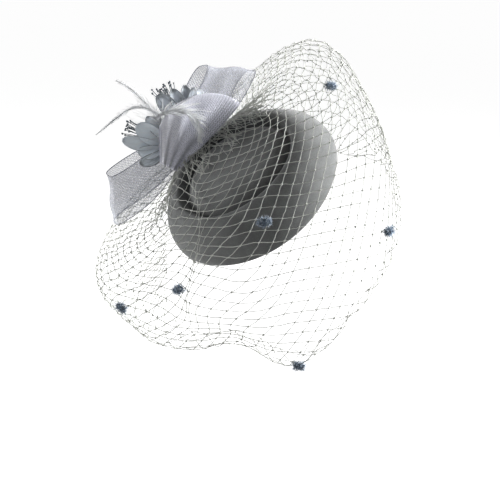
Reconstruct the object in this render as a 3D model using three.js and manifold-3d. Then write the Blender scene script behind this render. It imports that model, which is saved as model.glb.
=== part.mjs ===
// A side-worn cocktail hat: a blocked felt crown with a sunk ring round its tip, a coarse net veil gathered
// behind the crown, and a bow of sheer braid that carries two cloth blossoms and a spray of feathers.
// Millimetres, +Z up. The wearer looks along -Y, and the origin is the middle of the crown's open rim.
import * as THREE from "three";
import { mergeVertices } from "three/addons/utils/BufferGeometryUtils.js";
import Module from "manifold-3d";

const wasm = await Module();
wasm.setup();

// How the hat is worn: it leans towards the wearer's right side, and the bow sits at the back of the crown.
const LEAN = THREE.MathUtils.degToRad(45);
const BOW_TURN = THREE.MathUtils.degToRad(64);

// Felt crown
const CROWN_RADIUS = 90;
const CROWN_HEIGHT = 41;
const FELT = 2.6;
const GROOVE_DEPTH = 9;
const TIP_RISE = 4;
const RIM_LIFT = 6;
const CROWN_SIDES = 32;

// Hair comb, one plain piece sewn inside the rim
const COMB_WIDTH = 56;
const COMB_SPINE = 7;
const COMB_TOOTH = 24;
const COMB_TEETH = 9;
const COMB_GAUGE = 2;
const COMB_RISE = 9;
const COMB_TURN = THREE.MathUtils.degToRad(-26);

// Net veil
const VEIL_REACH = 165;
const VEIL_DROP = 75;
const NET_GAUGE = 1.4;
const NET_STRAND = 0.26;
const NET_COLUMNS = 40;
const NET_ROWS = 6;
const TUCK_TURN = 135;
const TUCK_SPAN = 10;
const TUCK_DEPTH = 22;
const VEIL_CLEAR = 2.6;
const COLLAR_CLEAR = 1.8;
const COLLAR_INSET = 20;
const COLLAR_LONG = 34;
const COLLAR_SHORT = 9;
const COLLAR_DEPTH = 0.12;
const DOT_SIZE = 9.5;
const DOT_THICK = 6;

// Bow of braid, a sheer double loop behind a pleated fan. Each pinch lies its inset within the crown's edge
// and its shift towards the lower loop, and rests on the net.
const BRAID = 1.2;
const BRAID_WIDTH = 52;
const BRAID_PINCH = 18;
const BOW_INSET = 4;
const BOW_SHIFT = 20;
const BOW_LOOP = 86;
const BOW_OPEN = 11;
const FAN_INSET = 31;
const FAN_SHIFT = 38;
const FAN_LENGTH = 82;
const FAN_START = THREE.MathUtils.degToRad(14);
const FAN_END = THREE.MathUtils.degToRad(91);
const FAN_OPEN = 4;
const LAYER_GAP = 1.7;
const PLEAT = 1.1;
const BOW_LIFT = -1.5;
const FAN_LIFT = 1.2;

// Two cloth blossoms with their stamens, and a spray of feathers
const HEART_RADIUS = 6;
const UPPER_HEART = { along: 31, turn: THREE.MathUtils.degToRad(67) };
const LOWER_HEART = { along: 8, turn: THREE.MathUtils.degToRad(29) };
const PETAL_THICK = 1;
const PETAL_LENGTH = 42;
const PETAL_WIDTH = 17;
const PETAL_ROOT = 4.5;
const STAMEN_LENGTH = 40;
const STAMEN_GAUGE = 1;
const STAMEN_TIP = 2.4;
const STAMENS = 6;
const FEATHER_LENGTH = 88;
const FEATHER_WIDTH = 9;
const FEATHER_HEAD = 4;

const PIECE_GAP = 0.3;
const TAU = 2 * Math.PI;

const CROWN_GREY = new THREE.Color(0.16, 0.165, 0.175);
const BRAID_LILAC = new THREE.Color(0.42, 0.42, 0.5);
const PETAL_SLATE = new THREE.Color(0.3, 0.35, 0.42);
const FEATHER_PEARL = new THREE.Color(0.72, 0.74, 0.76);
const NET_SILVER = new THREE.Color(0.62, 0.63, 0.6);
const DOT_BLUE = new THREE.Color(0.2, 0.25, 0.32);
const STAMEN_DARK = new THREE.Color(0.1, 0.12, 0.14);
const COMB_STEEL = new THREE.Color(0.55, 0.56, 0.58);

// The crown from the middle of its tip to its rim. out is a share of CROWN_RADIUS, up of CROWN_HEIGHT,
// sunk of GROOVE_DEPTH and rise of TIP_RISE.
const CROWN_PROFILE = [
  { out: 0, up: 1, sunk: 0, rise: 1 },
  { out: 0.3, up: 1, sunk: 0, rise: 0.85 },
  { out: 0.47, up: 1, sunk: 0, rise: 0.35 },
  { out: 0.54, up: 1, sunk: 0.2, rise: 0 },
  { out: 0.585, up: 1, sunk: 0.72, rise: 0 },
  { out: 0.62, up: 1, sunk: 1, rise: 0 },
  { out: 0.65, up: 1, sunk: 0.78, rise: 0 },
  { out: 0.68, up: 1, sunk: 0.15, rise: 0 },
  { out: 0.72, up: 1, sunk: 0, rise: 0 },
  { out: 0.8, up: 0.92, sunk: 0, rise: 0 },
  { out: 0.88, up: 0.76, sunk: 0, rise: 0 },
  { out: 0.95, up: 0.52, sunk: 0, rise: 0 },
  { out: 0.985, up: 0.27, sunk: 0, rise: 0 },
  { out: 1, up: 0.08, sunk: 0, rise: 0 },
  { out: 1, up: 0, sunk: 0, rise: 0 },
];

// The hem is also tucked inwards by TUCK_DEPTH at TUCK_TURN, over TUCK_SPAN degrees to each side.
// The veil's run from its gathered collar to its free edge, one row for each direction round the crown.
// turn is in degrees from the bow. The brink is where the net leaves the crown, the belly where it is widest
// and the hem is its free edge. brinkOut is a share of CROWN_RADIUS and brinkUp of CROWN_HEIGHT; the other
// outs are shares of VEIL_REACH and the other ups of VEIL_DROP.
const VEIL_RUNS = [
  { turn: 0, brinkOut: 1.1, brinkUp: 0.3, bellyOut: 0.82, bellyUp: 0.02, hemOut: 0.86, hemUp: -0.62 },
  { turn: 30, brinkOut: 1.12, brinkUp: 0.3, bellyOut: 0.94, bellyUp: 0.05, hemOut: 0.93, hemUp: -0.58 },
  { turn: 60, brinkOut: 1.12, brinkUp: 0.52, bellyOut: 1.03, bellyUp: 0.17, hemOut: 0.98, hemUp: -0.5 },
  { turn: 90, brinkOut: 1.08, brinkUp: 0.92, bellyOut: 1.03, bellyUp: 0.37, hemOut: 1.04, hemUp: -0.4 },
  { turn: 120, brinkOut: 0.95, brinkUp: 1.06, bellyOut: 0.96, bellyUp: 0.27, hemOut: 1.01, hemUp: -0.36 },
  { turn: 150, brinkOut: 0.87, brinkUp: 1.08, bellyOut: 0.84, bellyUp: 0.11, hemOut: 0.98, hemUp: -0.98 },
  { turn: 180, brinkOut: 0.85, brinkUp: 1.07, bellyOut: 0.73, bellyUp: 0.03, hemOut: 0.88, hemUp: -0.93 },
  { turn: 210, brinkOut: 0.87, brinkUp: 1.07, bellyOut: 0.72, bellyUp: 0, hemOut: 0.78, hemUp: -0.93 },
  { turn: 240, brinkOut: 0.95, brinkUp: 1.12, bellyOut: 0.79, bellyUp: 0.13, hemOut: 0.72, hemUp: -0.9 },
  { turn: 270, brinkOut: 1.08, brinkUp: 1.22, bellyOut: 0.84, bellyUp: 0.38, hemOut: 0.72, hemUp: -0.94 },
  { turn: 300, brinkOut: 1.15, brinkUp: 1.12, bellyOut: 1.0, bellyUp: 0.47, hemOut: 0.71, hemUp: -0.99 },
  { turn: 330, brinkOut: 1.12, brinkUp: 0.62, bellyOut: 1.04, bellyUp: 0.16, hemOut: 0.78, hemUp: -0.83 },
];

// The petals of both blossoms. turn goes from the crown's axis towards the lower loop and lean away from the
// face, in degrees. long and wide are shares of PETAL_LENGTH and PETAL_WIDTH, and cup of PETAL_WIDTH too.
const UPPER_PETALS = [
  { turn: 3, lean: 8, long: 1.02, wide: 0.85, cup: 0.2 },
  { turn: -18, lean: 5, long: 0.95, wide: 0.72, cup: 0.3 },
  { turn: -37, lean: 6, long: 0.95, wide: 0.62, cup: 0.35 },
  { turn: -48, lean: 2, long: 0.93, wide: 0.5, cup: 0.1 },
  { turn: -62, lean: 4, long: 0.9, wide: 0.8, cup: 0.2 },
];
const LOWER_PETALS = [
  { turn: -2, lean: 10, long: 0.9, wide: 0.6, cup: 0.15 },
  { turn: 17, lean: 5, long: 0.93, wide: 1, cup: 0.35 },
  { turn: 42, lean: 7, long: 1.12, wide: 0.75, cup: 0.2 },
  { turn: 60, lean: 0, long: 0.75, wide: 0.8, cup: 0.35 },
  { turn: 82, lean: -2, long: 0.8, wide: 0.7, cup: 0.2 },
];

// The quills of the spray from the head outwards. x, y and z are shares of FEATHER_LENGTH from the head.
const QUILLS = [
  { wide: 1, run: [{ x: 0, y: 0, z: 0 }, { x: 0.04, y: 0.03, z: 0.38 }, { x: 0.1, y: 0.16, z: 0.5 },
    { x: 0.1, y: 0.65, z: 0.54 }] },
  { wide: 0.7, run: [{ x: 0, y: 0, z: 0 }, { x: 0.12, y: 0.02, z: 0.4 }, { x: 0.22, y: 0.06, z: 0.7 },
    { x: 0.26, y: 0.11, z: 0.8 }] },
  { wide: 0.9, run: [{ x: 0, y: 0, z: 0 }, { x: -0.02, y: 0.03, z: 0.26 }, { x: -0.19, y: -0.1, z: 0.39 },
    { x: -0.24, y: -0.36, z: 0.16 }, { x: -0.24, y: -0.28, z: -0.03 }] },
];

// The dots of chenille, each at a knot of the net or halfway along a strand. column and row count the net's
// columns from the bow and its rows from the collar.
const DOTS = [
  { column: 29.5, row: 2.5 },
  { column: 23.5, row: 5.5 },
  { column: 19, row: 3 },
  { column: 17, row: 6 },
  { column: 11.5, row: 4.5 },
  { column: 14, row: 4 },
];

// A closed solid from a list of corner points and triangles, turned to face outwards.
function closedGeometry(points, faces) {
  let volume = 0;
  for (const [a, b, c] of faces) {
    volume += points[a].dot(new THREE.Vector3().crossVectors(points[b], points[c]));
  }
  const turned = volume < 0 ? faces.map(([a, b, c]) => [a, c, b]) : faces;
  const geometry = new THREE.BufferGeometry();
  geometry.setAttribute("position", new THREE.Float32BufferAttribute(points.flatMap((p) => p.toArray()), 3));
  geometry.setIndex(turned.flat());
  geometry.computeVertexNormals();
  return geometry;
}

function quad(faces, a, b, c, d) {
  faces.push([a, b, c], [a, c, d]);
}

// A solid of revolution-like rings, closed by one point at each end.
function ringSolid(firstPole, rings, lastPole) {
  const sides = rings[0].length;
  const points = [firstPole, ...rings.flat(), lastPole];
  const at = (ring, side) => 1 + ring * sides + (side % sides);
  const faces = [];
  for (let side = 0; side < sides; side++) {
    faces.push([0, at(0, side), at(0, side + 1)]);
    for (let ring = 0; ring + 1 < rings.length; ring++) {
      quad(faces, at(ring, side), at(ring + 1, side), at(ring + 1, side + 1), at(ring, side + 1));
    }
    faces.push([points.length - 1, at(rings.length - 1, side + 1), at(rings.length - 1, side)]);
  }
  return closedGeometry(points, faces);
}

// The way a surface faces at (s, t).
function surfaceNormal(surface, s, t, step = 1e-3) {
  const alongS = surface(s + step, t).sub(surface(s - step, t));
  const alongT = surface(s, t + step).sub(surface(s, t - step));
  return alongS.cross(alongT).normalize();
}

// A cloth wall over surface(s, t), with s from 0 to 1 along it and t from -1 to 1 across. A looped wall joins
// its end to its start.
function clothWall(surface, { along, across, thickness, looped = false }) {
  const points = [];
  const rows = looped ? along : along + 1;
  for (let i = 0; i < rows; i++) {
    for (let j = 0; j <= across; j++) {
      const s = i / along;
      const t = -1 + (2 * j) / across;
      const middle = surface(s, t);
      const offset = surfaceNormal(surface, s, t).multiplyScalar(thickness / 2);
      points.push(middle.clone().add(offset), middle.clone().sub(offset));
    }
  }
  const at = (i, j, side) => 2 * ((i % rows) * (across + 1) + j) + side;
  const faces = [];
  for (let i = 0; i < along; i++) {
    for (let j = 0; j < across; j++) {
      quad(faces, at(i, j, 0), at(i + 1, j, 0), at(i + 1, j + 1, 0), at(i, j + 1, 0));
      quad(faces, at(i, j, 1), at(i, j + 1, 1), at(i + 1, j + 1, 1), at(i + 1, j, 1));
    }
    quad(faces, at(i, 0, 0), at(i, 0, 1), at(i + 1, 0, 1), at(i + 1, 0, 0));
    quad(faces, at(i, across, 0), at(i + 1, across, 0), at(i + 1, across, 1), at(i, across, 1));
  }
  if (!looped) {
    for (let j = 0; j < across; j++) {
      quad(faces, at(0, j, 0), at(0, j + 1, 0), at(0, j + 1, 1), at(0, j, 1));
      quad(faces, at(along, j, 0), at(along, j, 1), at(along, j + 1, 1), at(along, j + 1, 0));
    }
  }
  return closedGeometry(points, faces);
}

// Joins closed geometries into one body.
function fused(geometries) {
  const solids = geometries.map((geometry) => {
    const bare = new THREE.BufferGeometry();
    bare.setAttribute("position", geometry.getAttribute("position"));
    bare.setIndex(geometry.index);
    const whole = mergeVertices(bare);
    const mesh = new wasm.Mesh({
      numProp: 3,
      vertProperties: new Float32Array(whole.getAttribute("position").array),
      triVerts: new Uint32Array(whole.index.array),
    });
    return new wasm.Manifold(mesh);
  });
  const joined = solids.reduce((whole, solid) => whole.add(solid)).getMesh();
  const geometry = new THREE.BufferGeometry();
  geometry.setAttribute("position", new THREE.Float32BufferAttribute(joined.vertProperties, 3));
  geometry.setIndex([...joined.triVerts]);
  geometry.computeVertexNormals();
  return geometry;
}

function felt(color) {
  return new THREE.MeshStandardMaterial({ color, roughness: 0.95, metalness: 0 });
}

function cloth(color) {
  return new THREE.MeshStandardMaterial({ color, roughness: 0.7, metalness: 0, side: THREE.DoubleSide });
}

function metal(color) {
  return new THREE.MeshStandardMaterial({ color, roughness: 0.35, metalness: 0.9 });
}

function named(name, geometry, material) {
  const mesh = new THREE.Mesh(geometry, material);
  mesh.name = name;
  return mesh;
}

// Eases from 0 to 1 with no slope at either end.
function eased(share) {
  const x = THREE.MathUtils.clamp(share, 0, 1);
  return x * x * (3 - 2 * x);
}

function crownPoint(row) {
  const height = row.up * CROWN_HEIGHT - row.sunk * GROOVE_DEPTH + row.rise * TIP_RISE;
  return new THREE.Vector2(row.out * CROWN_RADIUS, height);
}

// The top of the crown at a distance from its axis, as a cloth stretched over it sees it, and 0 outside.
function crownTop(out) {
  const bridged = CROWN_PROFILE.map((row) => crownPoint({ ...row, sunk: 0 }));
  if (out >= CROWN_RADIUS) return 0;
  const next = bridged.findIndex((point) => point.x > out);
  const [low, high] = [bridged[next - 1], bridged[next]];
  return THREE.MathUtils.mapLinear(out, low.x, high.x, low.y, high.y);
}

// The crown's outer profile moved inwards by the felt's thickness.
function innerProfile(outer) {
  return outer.map((point, i) => {
    const before = outer[Math.max(i - 1, 0)];
    const after = outer[Math.min(i + 1, outer.length - 1)];
    const way = after.clone().sub(before).normalize();
    const moved = new THREE.Vector2(point.x + way.y * FELT, point.y - way.x * FELT);
    if (i === 0) return new THREE.Vector2(0, point.y - FELT);
    if (i === outer.length - 1) return new THREE.Vector2(point.x - FELT, point.y);
    return moved;
  });
}

function feltCrown() {
  const outer = CROWN_PROFILE.map(crownPoint);
  const inner = innerProfile(outer);
  const ring = (point) =>
    Array.from({ length: CROWN_SIDES }, (_, side) => {
      const turn = (TAU * side) / CROWN_SIDES;
      const lift = RIM_LIFT * Math.sin(turn - BOW_TURN) ** 2 * (1 - eased(point.y / CROWN_HEIGHT));
      return new THREE.Vector3(point.x * Math.cos(turn), point.x * Math.sin(turn), point.y + lift);
    });
  const rings = [...outer.slice(1), ...inner.slice(1).reverse()].map(ring);
  const top = new THREE.Vector3(0, 0, outer[0].y);
  const under = new THREE.Vector3(0, 0, inner[0].y);
  return named("felt_crown", ringSolid(top, rings, under), felt(CROWN_GREY));
}

// A flat comb whose teeth point across the hat's opening.
function hairComb() {
  const pitch = COMB_WIDTH / COMB_TEETH;
  const outline = new THREE.Shape();
  outline.moveTo(-COMB_WIDTH / 2, 0);
  for (let tooth = 0; tooth < COMB_TEETH; tooth++) {
    const start = -COMB_WIDTH / 2 + tooth * pitch;
    outline.lineTo(start, -COMB_TOOTH);
    outline.lineTo(start + 0.4 * pitch, -COMB_TOOTH);
    outline.lineTo(start + 0.55 * pitch, 0);
    if (tooth + 1 < COMB_TEETH) outline.lineTo(start + pitch, 0);
  }
  outline.lineTo(COMB_WIDTH / 2, 0);
  outline.lineTo(COMB_WIDTH / 2, COMB_SPINE);
  outline.lineTo(-COMB_WIDTH / 2, COMB_SPINE);
  outline.closePath();
  const geometry = new THREE.ExtrudeGeometry(outline, { depth: COMB_GAUGE, bevelEnabled: false });
  return named("hair_comb", geometry, metal(COMB_STEEL));
}

// The comb's spine touches the felt at both its ends.
function seatedComb() {
  const comb = hairComb();
  const wall = 0.988 * (CROWN_RADIUS - FELT) - PIECE_GAP;
  const spineOut = Math.sqrt(wall ** 2 - (COMB_WIDTH / 2) ** 2) - COMB_SPINE;
  const seat = new THREE.Group();
  seat.rotation.z = COMB_TURN - Math.PI / 2;
  comb.position.set(0, spineOut, COMB_RISE);
  seat.add(comb);
  return seat;
}

// A value of the veil's table at any direction, smooth all the way round.
function veilValue(column, turn) {
  const rows = VEIL_RUNS.length;
  const place = (((turn / 360) % 1) + 1) * rows;
  const before = Math.floor(place);
  const share = place - before;
  const [a, b, c, d] = [-1, 0, 1, 2].map((step) => VEIL_RUNS[(before + step + rows) % rows][column]);
  const curve = 2 * b + (c - a) * share + (2 * a - 5 * b + 4 * c - d) * share ** 2;
  return (curve + (3 * b - a - 3 * c + d) * share ** 3) / 2;
}

// One run of the veil from the collar to the hem, in the crown's frame turned so that +X leads to the bow.
function veilRun(turn) {
  const angle = THREE.MathUtils.degToRad(turn);
  const [cos, sin] = [Math.cos(angle), Math.sin(angle)];
  const at = (out, up) => new THREE.Vector3(out * cos, out * sin, up);
  const collar = new THREE.Vector3(CROWN_RADIUS - COLLAR_INSET + COLLAR_SHORT * cos, COLLAR_LONG * sin, 0);
  collar.z = crownTop(Math.hypot(collar.x, collar.y)) + COLLAR_CLEAR + NET_GAUGE / 2;
  const brink = at(veilValue("brinkOut", turn) * CROWN_RADIUS, veilValue("brinkUp", turn) * CROWN_HEIGHT);
  const belly = at(veilValue("bellyOut", turn) * VEIL_REACH, veilValue("bellyUp", turn) * VEIL_DROP);
  const tuck = TUCK_DEPTH * Math.exp(-(((turn - TUCK_TURN) / TUCK_SPAN) ** 2));
  const hem = at(veilValue("hemOut", turn) * VEIL_REACH - tuck, veilValue("hemUp", turn) * VEIL_DROP);
  const curve = new THREE.CatmullRomCurve3([collar, brink, belly, hem], false, "centripetal");
  curve.arcLengthDivisions = 60;
  return curve;
}

const veilRuns = new Map();

// A point of the veil: turn in degrees from the bow, share 0 at the collar and 1 at the hem. The net rides
// over the crown and never through it.
function veilPoint(turn, share) {
  const key = turn.toFixed(4);
  if (!veilRuns.has(key)) veilRuns.set(key, veilRun(turn));
  const point = veilRuns.get(key).getPointAt(THREE.MathUtils.clamp(share, 0, 1));
  const clear = THREE.MathUtils.lerp(COLLAR_CLEAR, VEIL_CLEAR, eased(share / COLLAR_DEPTH)) + NET_GAUGE / 2;
  const out = Math.hypot(point.x, point.y);
  if (out < CROWN_RADIUS) point.z = Math.max(point.z, crownTop(out) + clear);
  return point;
}

function veilNormal(turn, share) {
  const low = Math.max(share - 0.01, 0);
  const high = Math.min(share + 0.01, 1);
  const down = veilPoint(turn, high).sub(veilPoint(turn, low));
  const round = veilPoint(turn + 1, share).sub(veilPoint(turn - 1, share));
  return round.cross(down).normalize();
}

// The share of the run that a row of knots lies at. Row 0 ends the gathered collar.
function rowShare(row) {
  return COLLAR_DEPTH + ((1 - COLLAR_DEPTH) * row) / NET_ROWS;
}

// The veil as one pierced wall. Knots lie where column + row is even, and each mesh between four knots is
// cut out, with NET_STRAND of its half width left along each side. Half steps bend the strands.
function netVeil() {
  const points = [];
  const known = new Map();
  const pair = (middle, normal) => {
    const offset = normal.clone().multiplyScalar(NET_GAUGE / 2);
    points.push(middle.clone().add(offset), middle.clone().sub(offset));
    return points.length - 2;
  };
  const knot = (column, share) => {
    const wrapped = (column + NET_COLUMNS) % NET_COLUMNS;
    const key = wrapped.toFixed(2) + "/" + share.toFixed(5);
    if (!known.has(key)) {
      const turn = (360 * wrapped) / NET_COLUMNS;
      known.set(key, pair(veilPoint(turn, share), veilNormal(turn, share)));
    }
    return known.get(key);
  };
  const middleOf = (start) => points[start].clone().add(points[start + 1]).multiplyScalar(0.5);
  const faces = [];
  const bothSides = (x, y, z) => faces.push([x, y, z], [x + 1, z + 1, y + 1]);
  // Corners go round a mesh, with a knot in every even place. The hole has a corner by each knot.
  const pierced = (corners, column, share) => {
    const rim = corners.map(([c, s]) => knot(c, s));
    const knots = rim.filter((_, i) => i % 2 === 0).map(middleOf);
    const centre = knots.reduce((sum, p) => sum.add(p), new THREE.Vector3()).divideScalar(knots.length);
    const normal = veilNormal((360 * column) / NET_COLUMNS, share);
    const hole = knots.map((p) => pair(centre.clone().lerp(p, 1 - NET_STRAND), normal));
    hole.forEach((inner, k) => {
      const next = hole[(k + 1) % hole.length];
      const [a, b, c] = [rim[2 * k], rim[2 * k + 1], rim[(2 * k + 2) % rim.length]];
      bothSides(a, b, inner);
      bothSides(b, next, inner);
      bothSides(b, c, next);
      quad(faces, inner, next, next + 1, inner + 1);
    });
  };

  for (let row = 1; row < NET_ROWS; row++) {
    const half = (rowShare(1) - rowShare(0)) / 2;
    for (let column = row % 2 ? 0 : 1; column < NET_COLUMNS; column += 2) {
      const s = rowShare(row);
      const corners = [
        [column - 1, s], [column - 0.5, s - half], [column, s - 2 * half], [column + 0.5, s - half],
        [column + 1, s], [column + 0.5, s + half], [column, s + 2 * half], [column - 0.5, s + half],
      ];
      pierced(corners, column, s);
    }
  }
  const half = (rowShare(1) - rowShare(0)) / 2;
  for (let column = NET_ROWS % 2 ? 0 : 1; column < NET_COLUMNS; column += 2) {
    const corners = [
      [column - 1, 1], [column - 0.5, 1 - half], [column, 1 - 2 * half], [column + 0.5, 1 - half],
      [column + 1, 1], [column, 1],
    ];
    pierced(corners, column, 1 - 0.7 * half);
    for (const [from, to] of [[column - 1, column], [column, column + 1]]) {
      quad(faces, knot(from, 1), knot(to, 1), knot(to, 1) + 1, knot(from, 1) + 1);
    }
  }
  // The gathered collar is whole, and its last row runs down to the first knots.
  for (let column = 1; column < NET_COLUMNS; column += 2) {
    const [a, b, c] = [knot(column - 1, rowShare(0)), knot(column, rowShare(0)), knot(column + 1, rowShare(0))];
    const [left, right] = [knot(column - 0.5, rowShare(0.5)), knot(column + 0.5, rowShare(0.5))];
    const tip = knot(column, rowShare(1));
    for (const [x, y, z] of [[a, b, left], [b, tip, left], [b, right, tip], [b, c, right]]) bothSides(x, y, z);
  }
  const rings = [0, COLLAR_DEPTH / 2, COLLAR_DEPTH].map((share) =>
    Array.from({ length: NET_COLUMNS }, (_, column) => knot(column, share)));
  for (let ring = 0; ring + 1 < rings.length; ring++) {
    for (let i = 0; i < NET_COLUMNS; i++) {
      const j = (i + 1) % NET_COLUMNS;
      const [a, b, c, d] = [rings[ring][i], rings[ring][j], rings[ring + 1][j], rings[ring + 1][i]];
      quad(faces, a, b, c, d);
      quad(faces, a + 1, d + 1, c + 1, b + 1);
      if (ring === 0) quad(faces, b, a, a + 1, b + 1);
    }
  }
  return named("net_veil", closedGeometry(points, faces), cloth(NET_SILVER));
}

// The highest the net reaches within reach of a place on the crown.
function netTop(x, y, reach) {
  let top = 0;
  for (let turn = 0; turn < 360; turn += 4) {
    for (let share = 0; share < 0.4; share += 0.02) {
      const point = veilPoint(turn, share);
      if (Math.hypot(point.x - x, point.y - y) < reach) top = Math.max(top, point.z);
    }
  }
  return top + NET_GAUGE / 2;
}

// The middle of a pinch that stands upright on the net.
function pinchSeat(inset, shift, lift) {
  const out = CROWN_RADIUS - inset;
  const top = netTop(out, shift, LAYER_GAP + PLEAT + BRAID);
  return new THREE.Vector3(out, shift, top + lift + BRAID_PINCH / 2);
}

// A loop of braid from its pinch to its fold. way runs from 0 on one side of the pinch, through PI / 2 at the
// fold, to PI on the other side, and t goes across.
function braidLoop({ seat, open, centre, width, way, t, pleats }) {
  const out = Math.sin(way);
  const side = Math.cos(way);
  const point = seat.clone().add(centre(out, t)).add(width(out, t));
  const pleat = PLEAT * Math.sin(pleats * Math.PI * t) * (1 - out ** 4);
  point.x += side * THREE.MathUtils.lerp(LAYER_GAP, open, eased(out)) + pleat;
  return point;
}

// The sheer bow, one closed band pinched in the middle. Its lower loop lies along +y and its upper along -y.
function sheerBow(seat) {
  const lower = { centre: [0.98, 0.1], width: [0.4, -0.92] };
  const upper = { centre: [-0.96, 0.46], width: [-0.68, -0.73] };
  const surface = (s, t) => {
    const turn = TAU * s;
    const lobe = Math.sin(turn) >= 0 ? lower : upper;
    const centre = (out) => new THREE.Vector3(0, lobe.centre[0], lobe.centre[1]).multiplyScalar(out * BOW_LOOP);
    const width = (out) => {
      const spread = eased(1.6 * out);
      const across = new THREE.Vector3(0, lobe.width[0] * spread, -1 + (1 + lobe.width[1]) * spread);
      return across.multiplyScalar((t * THREE.MathUtils.lerp(BRAID_PINCH, BRAID_WIDTH, spread)) / 2);
    };
    const way = Math.sin(turn) >= 0 ? turn : TAU - turn;
    return braidLoop({ seat, open: BOW_OPEN, centre, width, way, t, pleats: 2.5 });
  };
  const geometry = clothWall(surface, { along: 32, across: 4, thickness: BRAID, looped: true });
  return named("bow_loops", geometry, cloth(BRAID_LILAC));
}

// The pleated fan in front of the bow, a loop that spreads from its pinch on the crown.
function pleatedFan(seat) {
  const surface = (s, t) => {
    const turn = THREE.MathUtils.lerp(FAN_START, FAN_END, (t + 1) / 2);
    const length = FAN_LENGTH * (0.46 + 0.54 * Math.sin(((t + 1) * Math.PI) / 4));
    const centre = (out) =>
      new THREE.Vector3(0, -Math.sin(turn), Math.cos(turn)).multiplyScalar(out * length);
    const width = (out) => new THREE.Vector3(0, -0.35, -1).multiplyScalar((t * (1 - out) * BRAID_PINCH) / 2);
    const way = Math.PI * (1 - s);
    return braidLoop({ seat, open: FAN_OPEN, centre, width, way, t, pleats: 3.5 });
  };
  const geometry = clothWall(surface, { along: 16, across: 6, thickness: BRAID });
  return named("bow_fan", geometry, cloth(BRAID_LILAC.clone().multiplyScalar(0.8)));
}

// One petal that grows along +Z from the heart's middle, cupped about its length and curled back at its tip.
function petal({ turn, lean, long, wide, cup }) {
  const surface = (s, t) => {
    const half = (wide * PETAL_WIDTH * Math.sin(Math.PI * (0.06 + 0.9 * s)) ** 0.75) / 2;
    const bend = cup * PETAL_WIDTH * (t * t * Math.sin(Math.PI * s) * 0.8 - 0.9 * s ** 3);
    return new THREE.Vector3(-bend, t * half, PETAL_ROOT + s * (long * PETAL_LENGTH - PETAL_ROOT));
  };
  const geometry = clothWall(surface, { along: 5, across: 2, thickness: PETAL_THICK });
  geometry.rotateY(THREE.MathUtils.degToRad(lean));
  return geometry.rotateX(THREE.MathUtils.degToRad(-turn));
}

// The middle of a heart that sits against the back of the fan.
function heartBehind(seat, { along, turn }) {
  const behind = LAYER_GAP + BRAID / 2 + 2 * PIECE_GAP + HEART_RADIUS;
  return seat.clone().add(new THREE.Vector3(behind, -along * Math.sin(turn), along * Math.cos(turn)));
}

function blossom(name, heart, rows) {
  const middle = new THREE.SphereGeometry(HEART_RADIUS, 8, 5);
  const mesh = named(name, fused([middle, ...rows.map(petal)]), cloth(PETAL_SLATE));
  mesh.position.copy(heart);
  return mesh;
}

// A tuft of stiff threads with swollen tips, bound at its foot.
function stamens(name, heart, turn) {
  const parts = [new THREE.SphereGeometry(2.6 * STAMEN_GAUGE, 6, 4)];
  for (let i = 0; i < STAMENS; i++) {
    const spread = (i - (STAMENS - 1) / 2) * 0.09;
    const length = STAMEN_LENGTH * (0.9 + 0.1 * (i % 2));
    const thread = new THREE.CylinderGeometry(STAMEN_GAUGE / 2, STAMEN_GAUGE / 2, length, 4);
    const tip = new THREE.OctahedronGeometry(STAMEN_TIP / 2, 0);
    for (const [part, rise] of [[thread, length / 2], [tip, length]]) {
      part.rotateX(Math.PI / 2).translate(0, 0, rise);
      part.rotateX(-spread).rotateY(((i % 3) - 1) * 0.06);
      parts.push(part);
    }
  }
  const mesh = named(name, fused(parts), cloth(STAMEN_DARK));
  mesh.rotation.set(THREE.MathUtils.degToRad(-turn), THREE.MathUtils.degToRad(21), 0);
  const away = new THREE.Vector3(0, 0, 1).applyEuler(mesh.rotation);
  away.x += 0.9;
  mesh.position.copy(heart).addScaledVector(away.normalize(), HEART_RADIUS + 2.5 * STAMEN_GAUGE);
  return mesh;
}

// One feather as a flat strip along its quill, broadest in its middle and pointed at its tip.
function feather({ wide, run }) {
  const scaled = run.map(({ x, y, z }) => new THREE.Vector3(x, y, z).multiplyScalar(FEATHER_LENGTH));
  const quill = new THREE.CatmullRomCurve3(scaled, false, "centripetal");
  const surface = (s, t) => {
    const at = THREE.MathUtils.clamp(s, 0, 1);
    const tangent = quill.getTangent(at);
    const across = new THREE.Vector3(1, 0, 0).cross(tangent).normalize();
    const half = (wide * FEATHER_WIDTH * Math.sin(Math.PI * (0.12 + 0.83 * at))) / 2;
    return quill.getPoint(at).addScaledVector(tangent, (s - at) * FEATHER_LENGTH).addScaledVector(across, t * half);
  };
  return clothWall(surface, { along: 10, across: 2, thickness: PETAL_THICK });
}

function featherSpray(heart) {
  const head = new THREE.SphereGeometry(FEATHER_HEAD, 8, 5);
  const mesh = named("feather_spray", fused([head, ...QUILLS.map(feather)]), cloth(FEATHER_PEARL));
  const aside = new THREE.Vector3(0.07, -0.76, 0.65);
  mesh.position.copy(heart).addScaledVector(aside, HEART_RADIUS + 2 * FEATHER_HEAD);
  return mesh;
}

// A tuft of chenille that sits on the outside of the net.
function chenilleDot({ column, row }, i) {
  const geometry = new THREE.SphereGeometry(DOT_SIZE / 2, 8, 5);
  geometry.rotateX(Math.PI / 2).scale(1, 1, DOT_THICK / DOT_SIZE);
  const mesh = named(`net_dot_${i + 1}`, geometry, cloth(DOT_BLUE));
  const turn = (360 * column) / NET_COLUMNS;
  const outwards = veilNormal(turn, rowShare(row)).negate();
  mesh.quaternion.setFromUnitVectors(new THREE.Vector3(0, 0, 1), outwards);
  mesh.position.copy(veilPoint(turn, rowShare(row)));
  mesh.position.addScaledVector(outwards, (NET_GAUGE + DOT_THICK) / 2 + PIECE_GAP);
  return mesh;
}

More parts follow.
